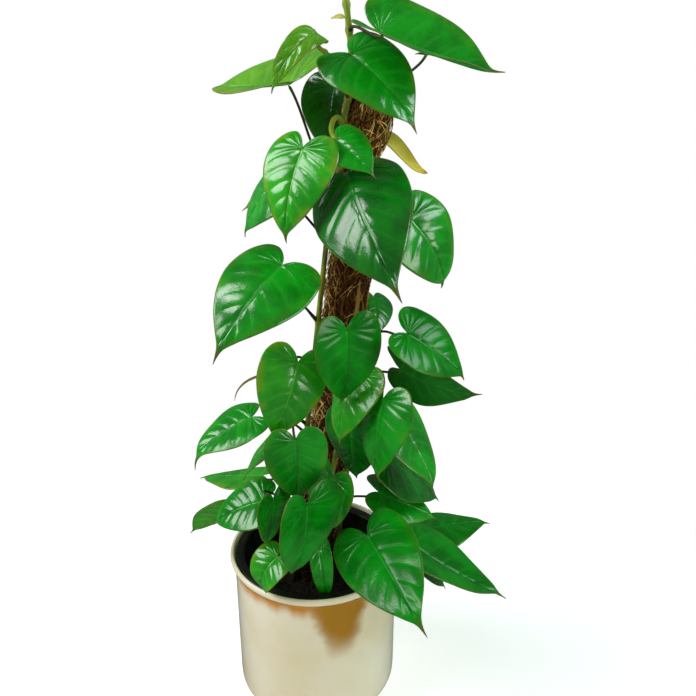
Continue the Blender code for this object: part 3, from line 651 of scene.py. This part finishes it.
def rolled(line, radii, sides, material):
    """A grid rolled round a line into a tube with closed ends; U runs round it and V along it."""
    start()
    line, radii = np.array(line), np.array(radii)
    rows = len(line) - 1
    bpy.ops.mesh.primitive_grid_add(x_subdivisions=sides, y_subdivisions=rows, size=2)
    tube = bpy.context.object
    flat = corners(tube)
    row = np.rint((flat[:, 1] + 1) / 2 * rows).astype(int)
    turn = (flat[:, 0] + 1) * np.pi
    side, up = carried_frames(line)
    spoke = np.cos(turn)[:, None] * side[row] + np.sin(turn)[:, None] * up[row]
    move_corners(tube, line[row] + radii[row][:, None] * spoke)
    weld()
    tube.data.materials.append(material)
    bpy.ops.object.shade_smooth()
    return tube


def strands(lines, radii, materials, kinds):
    """Thin tubes along many lines, drawn as one bevelled curve; kinds picks each one's material."""
    start()
    bpy.ops.curve.primitive_bezier_curve_add()
    carrier = bpy.context.object
    data = carrier.data
    data.splines.clear()
    data.bevel_depth = 1.0
    data.bevel_resolution = 0
    data.use_fill_caps = True
    for material in materials:
        data.materials.append(material)
    for line, radius, kind in zip(lines, radii, kinds):
        spline = data.splines.new("POLY")
        spline.points.add(len(line) - 1)
        spline.material_index = kind
        for index, place in enumerate(line):
            share = index / (len(line) - 1)
            spline.points[index].co = (*place, 1.0)
            spline.points[index].radius = radius * (1.0 - 0.5 * abs(2 * share - 1) ** 3)
    bpy.ops.object.convert(target="MESH")
    bpy.ops.object.shade_smooth()
    return bpy.context.object


# ---------------------------------------------------------------- pot and soil

def make_cachepot(material):
    """The glazed pot: a hollow turned wall with a rolled lip and a flat foot."""
    inner = BODY_RADIUS - WALL
    lip = RIM_HEIGHT
    pot = turned((
        (0.001, FLOOR), (inner - 0.020, FLOOR), (inner - 0.008, FLOOR + 0.001),
        (inner - 0.002, FLOOR + 0.006), (inner, FLOOR + 0.014), (inner, 0.060), (inner, 0.110),
        (inner, lip - 0.0145),
        (inner + 0.0006, lip - 0.0115), (inner + 0.0017, lip - 0.0083), (inner + 0.0043, lip - 0.0046),
        (RIM_RADIUS - 0.0042, lip - 0.0012), (RIM_RADIUS - 0.0032, lip),
        (RIM_RADIUS - 0.0012, lip - 0.0001), (RIM_RADIUS, lip - 0.0020), (RIM_RADIUS, lip - 0.0048),
        (RIM_RADIUS - 0.0014, lip - 0.0072),
        (BODY_RADIUS + 0.0012, lip - 0.0092), (BODY_RADIUS + 0.0002, lip - 0.0118),
        (BODY_RADIUS, lip - 0.0160), (BODY_RADIUS, 0.110), (BODY_RADIUS, 0.060), (BODY_RADIUS, 0.020),
        (BODY_RADIUS, 0.0060), (BODY_RADIUS - 0.0004, 0.0022), (BODY_RADIUS - 0.0017, 0.0004),
        (FOOT_RADIUS - 0.0010, 0.0), (FOOT_RADIUS - 0.006, 0.0), (0.001, 0.0)),
        material, smoothings=2)
    finished(pot, "glazed_cachepot", ["cachepot"])


def liner_radius(height):
    """Outer radius of the liner's tapered wall at a height."""
    share = (height - FLOOR) / (LINER_TOP - FLOOR)
    return LINER_FOOT_RADIUS + share * (LINER_TOP_RADIUS - LINER_FOOT_RADIUS)


def make_nursery_pot(material):
    """The black liner: a rolled rim, a stepped wall, and drain holes cut through its floor."""
    foot = FLOOR + GAP
    floor = foot + LINER_FLOOR
    ledge = LINER_TOP - LINER_RIM_THICKNESS
    wall = LINER_WALL
    pot = turned((
        (0.001, floor), (liner_radius(floor) - wall - 0.001, floor),
        (liner_radius(floor + 0.002) - wall, floor + 0.002), (liner_radius(0.060) - wall, 0.060),
        (liner_radius(ledge) - wall, ledge),
        (LINER_TOP_RADIUS - 0.0003, LINER_TOP - 0.0003), (LINER_TOP_RADIUS + 0.0009, LINER_TOP),
        (LINER_TOP_RADIUS + 0.0026, LINER_TOP - 0.0002), (LINER_RIM_RADIUS - 0.0030, LINER_TOP - 0.0003),
        (LINER_RIM_RADIUS - 0.0010, LINER_TOP), (LINER_RIM_RADIUS, LINER_TOP - 0.0005),
        (LINER_RIM_RADIUS, ledge), (LINER_RIM_RADIUS - 0.0008, ledge),
        (liner_radius(ledge) + 0.0006, ledge), (liner_radius(ledge), ledge - 0.0006),
        (liner_radius(0.060), 0.060), (LINER_FOOT_RADIUS, foot + 0.001),
        (LINER_FOOT_RADIUS - 0.001, foot), (0.001, foot)), material, smoothings=0)
    for number in range(DRAIN_HOLES):
        angle = 2 * math.pi * number / DRAIN_HOLES
        start()
        bpy.ops.mesh.primitive_cylinder_add(
            vertices=24, radius=DRAIN_RADIUS, depth=0.012,
            location=(DRAIN_CIRCLE * math.cos(angle), DRAIN_CIRCLE * math.sin(angle), foot))
        drill = bpy.context.object
        apply_modifier(pot, "BOOLEAN", operation="DIFFERENCE", object=drill, solver="EXACT")
        bpy.data.objects.remove(drill)
    pot.data.set_sharp_from_angle(angle=math.radians(35))
    finished(pot, "nursery_liner", ["nursery_pot"])


def make_soil(material):
    """Loose potting soil: a crowned bed roughened by two sizes of lump, with crumbs lying on it."""
    rng = random.Random(11)
    bottom = FLOOR + GAP + LINER_FLOOR + GAP
    wall = LINER_WALL + GAP
    edge = liner_radius(SOIL_EDGE) - wall
    dip = SOIL_CROWN - SOIL_EDGE
    rings = [(edge * k / 14, SOIL_CROWN - dip * (k / 14) ** 2) for k in range(1, 14)]
    bed = turned([(0.001, SOIL_CROWN)] + rings + [(edge, SOIL_EDGE), (edge - 0.0004, SOIL_EDGE - 0.004),
                          (liner_radius(bottom) - wall, bottom), (0.001, bottom)], material, smoothings=1)
    for name, size, strength in (("soil lumps", 0.010, 0.0035), ("soil crumbs", 0.0028, 0.0018)):
        lumps = bpy.data.textures.new(name, "CLOUDS")
        lumps.noise_scale = size
        top = bed.vertex_groups.new(name=name)
        inside = [v for v in bed.data.vertices if v.co.xy.length < edge - 0.001]
        top.add([v.index for v in inside if v.co.z > SOIL_EDGE - 0.001], 1.0, "ADD")
        apply_modifier(bed, "DISPLACE", texture=lumps, texture_coords="LOCAL", direction="Z",
                       strength=strength, mid_level=0.5, vertex_group=name)
    start()
    bpy.ops.mesh.primitive_ico_sphere_add(subdivisions=1, radius=1)
    crumb = bpy.context.object
    flat = corners(crumb)
    crumb.data.materials.append(material)
    crumbs = []
    for _ in range(CRUMBS):
        angle, out = rng.uniform(0, 2 * math.pi), edge * 0.97 * math.sqrt(rng.random())
        size = rng.uniform(0.0008, 0.0030)
        squash = [rng.uniform(0.6, 1.3), rng.uniform(0.6, 1.3), rng.uniform(0.4, 0.9)]
        shape = flat * size * np.array(squash)
        shape *= 1 + 0.25 * np.array([[rng.uniform(-1, 1)] for _ in flat])
        height = SOIL_CROWN - dip * (out / edge) ** 2 + 0.0004
        lump = crumb.copy()
        lump.data = crumb.data.copy()
        bpy.context.scene.collection.objects.link(lump)
        move_corners(lump, shape + np.array([out * math.cos(angle), out * math.sin(angle), height]))
        crumbs.append(lump)
    bpy.data.objects.remove(crumb)
    finished(joined([bed] + crumbs), "potting_soil_bed", ["soil"])


# ---------------------------------------------------------------- pole

def axis_point(height):
    """The point of the pole's axis at a height."""
    return POLE_FOOT + POLE_UP * ((height - POLE_FOOT.z) / POLE_UP.z)


def on_pole(height, heading, radius):
    """A point beside the pole: a height, a heading round it in radians, and a distance from its axis."""
    return axis_point(height) + radius * (math.sin(heading) * POLE_SIDE + math.cos(heading) * POLE_FRONT)


def coir_radius(height):
    """The sleeve's radius: pinched to a narrow waist below the tuft at its top."""
    return COIR_RADIUS * (1 + sum(change * math.exp(-((height - middle) / reach) ** 2)
                                  for middle, reach, change in (COIR_WAIST, COIR_TUFT)))


def make_coir(mat, fibres):
    """A matted coir sleeve, roughened, with loose fibres wandering and looping over it."""
    rows = 150
    heights = [COIR_FOOT + (POLE_TOP - COIR_FOOT) * k / rows for k in range(rows + 1)]
    line = [tuple(axis_point(h)) for h in (heights[0], *heights, POLE_TOP - 0.002)]
    rounding = [max(0.0, (h - POLE_TOP + COIR_SHOULDER) / COIR_SHOULDER) ** 2 for h in heights]
    radii = [coir_radius(h) - COIR_SINK - COIR_SHOULDER * r for h, r in zip(heights, rounding)]
    bore = CORE_RADIUS + GAP
    sleeve = rolled(line, [bore] + radii + [bore], 72, mat)
    for name, size, strength in (("coir tufts", 0.012, 0.0022), ("coir matting", 0.003, 0.0016)):
        tufts = bpy.data.textures.new(name, "CLOUDS")
        tufts.noise_scale = size
        apply_modifier(sleeve, "DISPLACE", texture=tufts, texture_coords="LOCAL", direction="NORMAL",
                       strength=strength, mid_level=0.6)
    rng = random.Random(5)
    lines, widths, kinds = [], [], []
    for _ in range(FIBRES):
        height = rng.uniform(SOIL_EDGE - 0.004, POLE_TOP - 0.002)
        heading = rng.uniform(0, 2 * math.pi)
        slant = rng.gauss(0, 1)
        reach = rng.uniform(0.010, 0.030)
        lift = 0.0022 * rng.random() ** 2
        curl = rng.uniform(-1.4, 1.4)
        path = []
        for step in range(7):
            share = step / 6
            way = math.atan2(1.0, slant) + curl * share
            path.append(on_pole(min(height, POLE_TOP + 0.001), heading,
                                coir_radius(height) - 0.0009 + lift * math.sin(math.pi * share)
                                + 0.0004 * rng.random()))
            height += reach / 6 * math.sin(way)
            heading += reach / 6 * math.cos(way) / COIR_RADIUS
        lines.append(path)
        widths.append(rng.uniform(0.00016, 0.00042))
        # Painted light: fibres on the pole's left side and near its top are picked golden more often, the
        # rest darker as if shaded by the leaves; the top's gold is partly the coir's own colour
        lit_side_and_top = path[3].z > 0.535 or (path[3] - axis_point(path[3].z)).dot(POLE_SIDE) < -0.5 * COIR_RADIUS
        kinds.append(rng.choice((0, 0, 0, 1, 2, 2) if lit_side_and_top else (0, 1, 1, 2, 2, 2, 2)))
    for _ in range(TOP_FIBRES):
        heading = rng.uniform(0, 2 * math.pi)
        first = on_pole(POLE_TOP - rng.uniform(0.004, 0.014), heading, COIR_RADIUS - 0.0006)
        last = on_pole(POLE_TOP + rng.uniform(-0.001, 0.002), heading + rng.uniform(-0.9, 0.9),
                       rng.uniform(0.009, 0.016))
        over = on_pole(POLE_TOP + 0.0015, heading + rng.uniform(-0.4, 0.4), COIR_RADIUS - 0.001)
        lines.append(interpolate_bezier(first, over, over, last, 7))
        widths.append(rng.uniform(0.00016, 0.00034))
        kinds.append(rng.choice((0, 0, 1, 2)))
    loose = strands(lines, widths, fibres, kinds)
    finished(joined([sleeve, loose]), "coir_wrap", ["coir_sleeve"])


# ---------------------------------------------------------------- vines

def blend(keys, height):
    """The value at a height between (height, value) keys, eased between neighbours."""
    for (low, first), (high, second) in zip(keys, keys[1:]):
        if height <= high:
            share = max(0.0, (height - low) / (high - low))
            return first + (second - first) * share * share * (3 - 2 * share)
    return keys[-1][1]


def vine_line(name, step_length):
    """The vine's centre line: up the pole's surface, then through its free points."""
    vine = VINES[name]
    low, high = vine.headings[0][0], vine.headings[-1][0]
    steps = round((high - low) / step_length)
    line = []
    for step in range(steps + 1):
        height = low + (high - low) * step / steps
        line.append(on_pole(height, math.radians(blend(vine.headings, height)),
                            COIR_RADIUS + VINE_RADIUS + 2 * GAP))
    return line + [Vector(point) for point in vine.free]


def vine_place(name, height):
    """The vine's centre at a height and its direction there, on straight runs between its main points."""
    line = LINES[name]
    for low, high in zip(line, line[1:]):
        if height <= high.z:
            break
    share = min(1.0, (height - low.z) / (high.z - low.z))
    return low.lerp(high, share), (high - low).normalized()


def make_vine(name, skin, root_finish):
    """A vine with swollen joints where leaves leave it, and clinging roots at each joint."""
    rng = random.Random(name)
    joints = sorted([leaf.node for leaf in LEAVES.values() if leaf.vine == name])
    bottom, top = LINES[name][0].z, LINES[name][-1].z
    joints += [h for h in np.arange(bottom + 0.03, top, JOINT_SPACING)
               if all(abs(h - j) > JOINT_CLEARANCE for j in joints)]
    steps = round((top - bottom) / VINE_ROW)
    heights = [bottom + (top - bottom) * k / steps for k in range(steps + 1)]
    line = [np.array(vine_place(name, h)[0]) for h in heights]
    for _ in range(6):
        line = [line[0]] + [(a + 2 * b + c) / 4 for a, b, c in zip(line, line[1:], line[2:])] + [line[-1]]
    swell = [max(math.exp(-((h - j) / JOINT_REACH) ** 2) for j in joints) for h in heights]
    radii = [VINE_RADIUS * (0.86 + 0.38 * s) for s in swell]
    line = [line[0]] + line + [line[-1] + (line[-1] - line[-2]) * 0.3]
    radii = [0.0] + radii + [0.0]
    stem = rolled(line, radii, 14, skin)
    scar = stem.data.attributes.new("scar", "FLOAT", "POINT")
    level = corners(stem)[:, 2]
    worn = np.max([np.exp(-((level - j - 0.0018) / 0.0010) ** 2) for j in joints], axis=0)
    scar.data.foreach_set("value", np.clip(worn * 0.8, 0, 1).astype(np.float32))
    lines, widths, kinds = [], [], []
    for joint in joints:
        if joint > POLE_TOP - 0.01:
            continue
        for _ in range(rng.randint(2, 4)):
            heading = math.radians(blend(VINES[name].headings, joint))
            side = rng.choice((-1, 1))
            drop = rng.uniform(-0.006, 0.010)
            reach = rng.uniform(0.25, 0.75)
            lines.append([on_pole(joint + drop * share + rng.uniform(-0.0005, 0.0005),
                                  heading + side * reach * share, COIR_RADIUS + 0.0024 * (1 - share) + GAP)
                          for share in (0, 0.2, 0.4, 0.6, 0.8, 1)])
            widths.append(rng.uniform(0.0004, 0.0007))
            kinds.append(0)
    roots = strands(lines, widths, [root_finish], kinds)
    finished(joined([stem, roots]), f"climbing_{name}", [name])


# ---------------------------------------------------------------- leaves

def outline_points(shares):
    """Half the heart outline, from the notch round a lobe to the tip, on a smooth curve."""
    table = np.array(OUTLINE, float)
    place = shares * (len(table) - 1)
    index = np.minimum(place.astype(int), len(table) - 2)
    t = (place - index)[:, None]
    before, first, second, after = (table[np.clip(index + k, 0, len(table) - 1)] for k in (-1, 0, 1, 2))
    return 0.5 * (2 * first + (second - before) * t + (2 * before - 5 * first + 4 * second - after) * t * t
                  + (3 * first - before - 3 * second + after) * t ** 3)


def soft(values):
    values = np.clip(values, 0, 1)
    return values * values * (3 - 2 * values)


def blade_axes(leaf):
    """Unit vectors across the blade, along its midrib, and out of its upper face, at the base."""
    heading, droop, roll = (math.radians(v) for v in (leaf.heading, leaf.droop, leaf.roll))
    out = Vector((math.sin(heading), -math.cos(heading), 0.0))
    along = out * math.cos(droop) - Vector((0, 0, math.sin(droop)))
    upper = out * math.sin(droop) + Vector((0, 0, math.cos(droop)))
    side = Vector((math.cos(heading), math.sin(heading), 0.0))
    return (side * math.cos(roll) - upper * math.sin(roll), along,
            upper * math.cos(roll) + side * math.sin(roll))


def relief(share, across, rng, look):
    """The skin's height in blade lengths: quilted between veins, sunk at the midrib, wavy at the margin."""
    a = np.abs(across)
    veins = np.array(VEINS)
    index = np.clip(np.searchsorted(veins, share, side="right") - 1, 0, len(veins) - 2)
    gap = veins[index + 1] - veins[index]
    quilt = np.sin(np.pi * np.clip((share - veins[index]) / gap, 0, 1)) ** 0.8
    quilt *= soft(a / 0.30) * soft((1 - a) / 0.35) * (0.6 + 0.4 * gap / 0.13)
    rib = np.exp(-(a / 0.055) ** 2) * soft((share - 0.45) / 0.1) * soft((1 - share) / 0.1)
    waves = np.zeros_like(a)
    for sign in (-1, 1):
        half = np.sign(across) == sign
        turns, phase = rng.uniform(2.0, 3.5), rng.uniform(0, 1)
        waves[half] = np.sin(2 * np.pi * (turns * share[half] + phase))
    edge = waves * a ** 3 * soft((1 - share) / 0.15) * soft(share / 0.1)
    return QUILT_HEIGHT * look.quilt * quilt - RIB_DEPTH * rib + WAVE_HEIGHT * look.wave * edge


def blade_points(leaf, share, across, lift=0.0, curl=0.0):
    """Points of the bent blade in the plant's frame."""
    edge = outline_points(share)
    rib = np.maximum(0.0, (share - LOBE_SHARE) / (1 - LOBE_SHARE))
    bow_x, bow_y = 0.55 * edge[:, 0], rib + 0.30 * (edge[:, 1] - rib)
    a = np.abs(across)
    x = np.copysign(2 * a * (1 - a) * bow_x + a * a * edge[:, 0], across)
    y = (1 - a) ** 2 * rib + 2 * a * (1 - a) * bow_y + a * a * edge[:, 1]
    x = x * leaf.width * leaf.length / OUTLINE_WIDTH
    height = leaf.fold * np.abs(x) - CUP * x * x / leaf.length + lift * leaf.length
    bend = math.radians(leaf.arch or 1)
    angle = bend * y
    along = leaf.length * np.sin(angle) / bend + height * np.sin(angle)
    rise = height * np.cos(angle) - leaf.length * (1 - np.cos(angle)) / bend
    beyond = np.clip((y - CURL_START) / (1 - CURL_START), 0, 1)
    rise = rise - leaf.length * curl * CURL_DROP * beyond ** 3
    side, ahead, upper = (np.array(v) for v in blade_axes(leaf))
    return np.array(leaf.base) + x[:, None] * side + along[:, None] * ahead + rise[:, None] * upper


def stalk_line(leaf, points):
    """The stalk: out of the vine, round, and into the blade's base from behind."""
    node, run = vine_place(leaf.vine, leaf.node)
    ahead, upper = blade_axes(leaf)[1:]
    end = Vector(blade_points(leaf, np.array([LOBE_SHARE + 0.02]), np.array([0.0]))[0])
    outward = (node - axis_point(min(leaf.node, POLE_TOP))).normalized()
    toward = end - node
    toward = (toward - toward.dot(run) * run).normalized()
    out = outward + toward
    out = (out - out.dot(run) * run).normalized()
    begin = node + out * (VINE_RADIUS - 0.0008)
    reach = (end - begin).length
    first = begin + 0.25 * reach * (out + POLE_UP)
    last = end - 0.35 * reach * ((1 - leaf.inline) * upper + leaf.inline * ahead)
    return [np.array(p) for p in interpolate_bezier(begin, first, last, end, points)]


def make_leaf(name, leaf, skins, margin, stalk_skins):
    """A heart blade quilted between its veins, with a thin rim, and the stalk that carries it."""
    rng = random.Random(name)
    look = LOOKS.get(name, GROWN)
    start()
    bpy.ops.mesh.primitive_grid_add(x_subdivisions=BLADE_ACROSS, y_subdivisions=BLADE_ALONG, size=2)
    blade = bpy.context.object
    flat = corners(blade)
    share, across = (flat[:, 1] + 1) / 2, flat[:, 0]
    move_corners(blade, blade_points(leaf, share, across, relief(share, across, rng, look), look.curl))
    weld(turn_out=False, distance=0.00002)
    bpy.ops.object.mode_set(mode="EDIT")
    bpy.ops.mesh.select_all(action="SELECT")
    bpy.ops.mesh.flip_normals()
    bpy.ops.object.mode_set(mode="OBJECT")
    for skin in (*skins[look.age], margin):
        blade.data.materials.append(skin)
    apply_modifier(blade, "SOLIDIFY", thickness=LEAF_THICKNESS, offset=0, material_offset=1,
                   material_offset_rim=2)
    bpy.ops.object.shade_smooth()
    line = stalk_line(leaf, STALK_ROWS)
    shares = np.linspace(0, 1, len(line))
    radii = STALK_RADIUS + 0.0008 * np.exp(-(shares / 0.10) ** 2) + 0.0003 * soft((shares - 0.85) / 0.15)
    radii *= look.stout
    radii[0] = radii[-1] = 0.0
    line.insert(1, line[0] + (line[1] - line[0]) * 0.02)
    radii = np.insert(radii, 1, 0.0019 * look.stout)
    stalk = rolled(line, radii, 10, stalk_skins[look.stout > 1])
    finished(joined([blade, stalk]), f"heart_{name}", [name])


def make_spear(material):
    """The next leaf, still rolled to a point, which carries on from the main vine's end."""
    line = LINES["vine_main"]
    up = (line[-1] - line[-2]).normalized()
    rows = 24
    shares = [k / rows for k in range(rows + 1)]
    places = [tuple(line[-1] + up * (GAP + SPEAR_LENGTH * s)) for s in shares]
    radii = [SPEAR_RADIUS * (0.75 + 0.5 * s) * (1 - s ** 2.5) if 0 < s < 1 else 0.0 for s in shares]
    spear = rolled(places, radii, 32, material)
    overlapped = []
    for corner in corners(spear):
        along = (Vector(corner) - line[-1]).dot(up)
        spoke = Vector(corner) - line[-1] - up * along
        around = math.atan2(spoke.dot(POLE_FRONT), spoke.dot(POLE_SIDE)) / (2 * math.pi)
        overlap = (around + 0.9 * along / SPEAR_LENGTH) % 1.0
        overlapped.append(Vector(corner) - spoke * (0.30 * overlap))
    move_corners(spear, overlapped)
    finished(spear, "rolled_new_leaf", ["new_leaf"])


def make_sheath(name, sheath, material):
    """A papery strap, cupped and rippled, which narrows towards its tip."""
    points = [Vector(point) for point in sheath.points]
    node = vine_place(sheath.vine, sheath.node)[0]
    root = node + (points[0] - node).normalized() * (VINE_RADIUS - 0.0004)
    face = Vector(sheath.face).normalized()
    line = interpolate_bezier(root, *points, SHEATH_ROWS + 1)
    start()
    bpy.ops.mesh.primitive_grid_add(x_subdivisions=10, y_subdivisions=SHEATH_ROWS, size=2)
    strap = bpy.context.object
    places = []
    for x, y, _ in corners(strap):
        share = (y + 1) / 2
        row = round(share * SHEATH_ROWS)
        along = (line[min(row + 1, SHEATH_ROWS)] - line[max(row - 1, 0)]).normalized()
        across = along.cross(face).normalized()
        taper = 0.15 + 0.85 * math.sin(math.pi * share) if share < 1 else 0.08
        narrowed = min(1.0, max(0.0, (share - 0.30) / 0.30))
        half = sheath.half_width * taper * (1 - 0.24 * narrowed ** 2 * (3 - 2 * narrowed))
        cupped = across.cross(along) * (half * (0.25 * (x * x - 0.4) + 0.08 * math.sin(17 * share + 2 * x)))
        places.append(line[row] + across * (x * half) + cupped)
    move_corners(strap, places)
    apply_modifier(strap, "SOLIDIFY", thickness=SHEATH_THICKNESS, offset=0)
    strap.data.materials.append(material)
    bpy.ops.object.shade_smooth()
    finished(strap, f"dry_{name}", [name])


# ---------------------------------------------------------------- studio

def add_lamp(name, lamp):
    """A soft lamp aimed at the plant's middle."""
    turn, rise = math.radians(lamp.heading), math.radians(lamp.elevation)
    back = Vector((math.sin(turn) * math.cos(rise), -math.cos(turn) * math.cos(rise), math.sin(rise)))
    bpy.ops.object.light_add(type="AREA", location=LIT_MIDDLE + back * lamp.distance)
    made = bpy.context.object
    made.name = name
    made.rotation_euler = back.to_track_quat("Z", "Y").to_euler()
    made.data.shape = "RECTANGLE"
    made.data.size, made.data.size_y = lamp.width, lamp.height
    made.data.energy = lamp.power
    made.data.color = lamp.colour
    made.visible_glossy = lamp.shines


def make_floor():
    """A pale floor that glows a little, and turns plain white away from the pot."""
    start()
    bpy.ops.mesh.primitive_plane_add(size=30)
    floor = bpy.context.object
    floor.name = "studio_floor"
    made, tree = finish_named("studio_floor", Roughness=0.9, Emission_Color=(1, 1, 1, 1))
    seen = put(tree, "LightPath").outputs["Is Camera Ray"]
    wired(made, Base_Color=mixed(tree, grain(tree, 3, 2.0), (0.86, 0.86, 0.86), (0.90, 0.90, 0.90)),
          Emission_Strength=times(tree, seen, 0.40))
    place = put(tree, "TexCoord").outputs["Object"]
    far = put(tree, "VectorMath", {0: place}, operation="LENGTH").outputs["Value"]
    share = times(tree, seen, eased(tree, far, 0.22, 0.60))
    pale, white = tree.nodes["Principled BSDF"].outputs[0], put(tree, "Emission").outputs[0]
    both = put(tree, "MixShader", {0: share, 1: pale, 2: white}).outputs[0]
    tree.links.new(both, tree.nodes["Material Output"].inputs["Surface"])
    floor.data.materials.append(made)
    floor.visible_glossy = False


def make_surroundings():
    """White to the camera and through glass, and a dim light for everything else."""
    world = bpy.context.scene.world or bpy.data.worlds.new("studio")
    bpy.context.scene.world = world
    world.use_nodes = True
    tree = world.node_tree
    seen = put(tree, "LightPath").outputs
    shown = maths(tree, "MAXIMUM", seen["Is Camera Ray"], seen["Is Transmission Ray"])
    ground = tree.nodes["Background"]
    ground.inputs["Color"].default_value = (1, 1, 1, 1)
    tree.links.new(spread(tree, shown, 0.10, 1.0), ground.inputs["Strength"])


def make_camera():
    bpy.ops.object.camera_add(location=CAMERA_PLACE, rotation=(math.pi / 2 - CAMERA_DOWN, 0, 0))
    camera = bpy.context.object
    camera.data.lens = CAMERA_LENS
    camera.data.sensor_width = CAMERA_SENSOR
    bpy.context.scene.camera = camera
    bpy.context.scene.view_settings.view_transform = "Standard"


# ---------------------------------------------------------------- the plant

LINES = {vine_name: vine_line(vine_name, VINE_STEP) for vine_name in VINES}

make_cachepot(glaze_finish())
make_nursery_pot(plastic_finish())
make_soil(soil_finish())
pole_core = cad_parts["pole_core"]
pole_core.data.materials.clear()
pole_core.data.materials.append(timber_finish())
make_coir(sleeve_finish(), [fibre_finish("fibre_gold", (0.52, 0.29, 0.045), (0.98, 0.72, 0.24)),
                            fibre_finish("fibre_tan", (0.26, 0.11, 0.022), (0.52, 0.26, 0.060)),
                            fibre_finish("fibre_dark", (0.022, 0.008, 0.004), (0.100, 0.030, 0.012))])
vine_skin = vine_finish()
root_finish = fibre_finish("clinging_root", (0.060, 0.040, 0.015), (0.200, 0.130, 0.050), 0.6)
for vine_name in VINES:
    make_vine(vine_name, vine_skin, root_finish)
leaf_skins = {age: (leaf_finish(age), leaf_finish(age, under=True)) for age in AGES}
leaf_margin, leaf_stalks = margin_finish(), (stalk_finish(), stalk_finish(young=True))
for leaf_name, leaf_row in LEAVES.items():
    make_leaf(leaf_name, leaf_row, leaf_skins, leaf_margin, leaf_stalks)
make_spear(leaf_stalks[1])
yellow_sheath, withered_sheath = sheath_finish(), sheath_finish(withered=True)
for sheath_name, sheath_row in SHEATHS.items():
    make_sheath(sheath_name, sheath_row, withered_sheath if sheath_name in WITHERED else yellow_sheath)

make_floor()
make_surroundings()
for lamp_name, lamp_row in LAMPS.items():
    add_lamp(lamp_name, lamp_row)
make_camera()

bpy.context.view_layer.update()
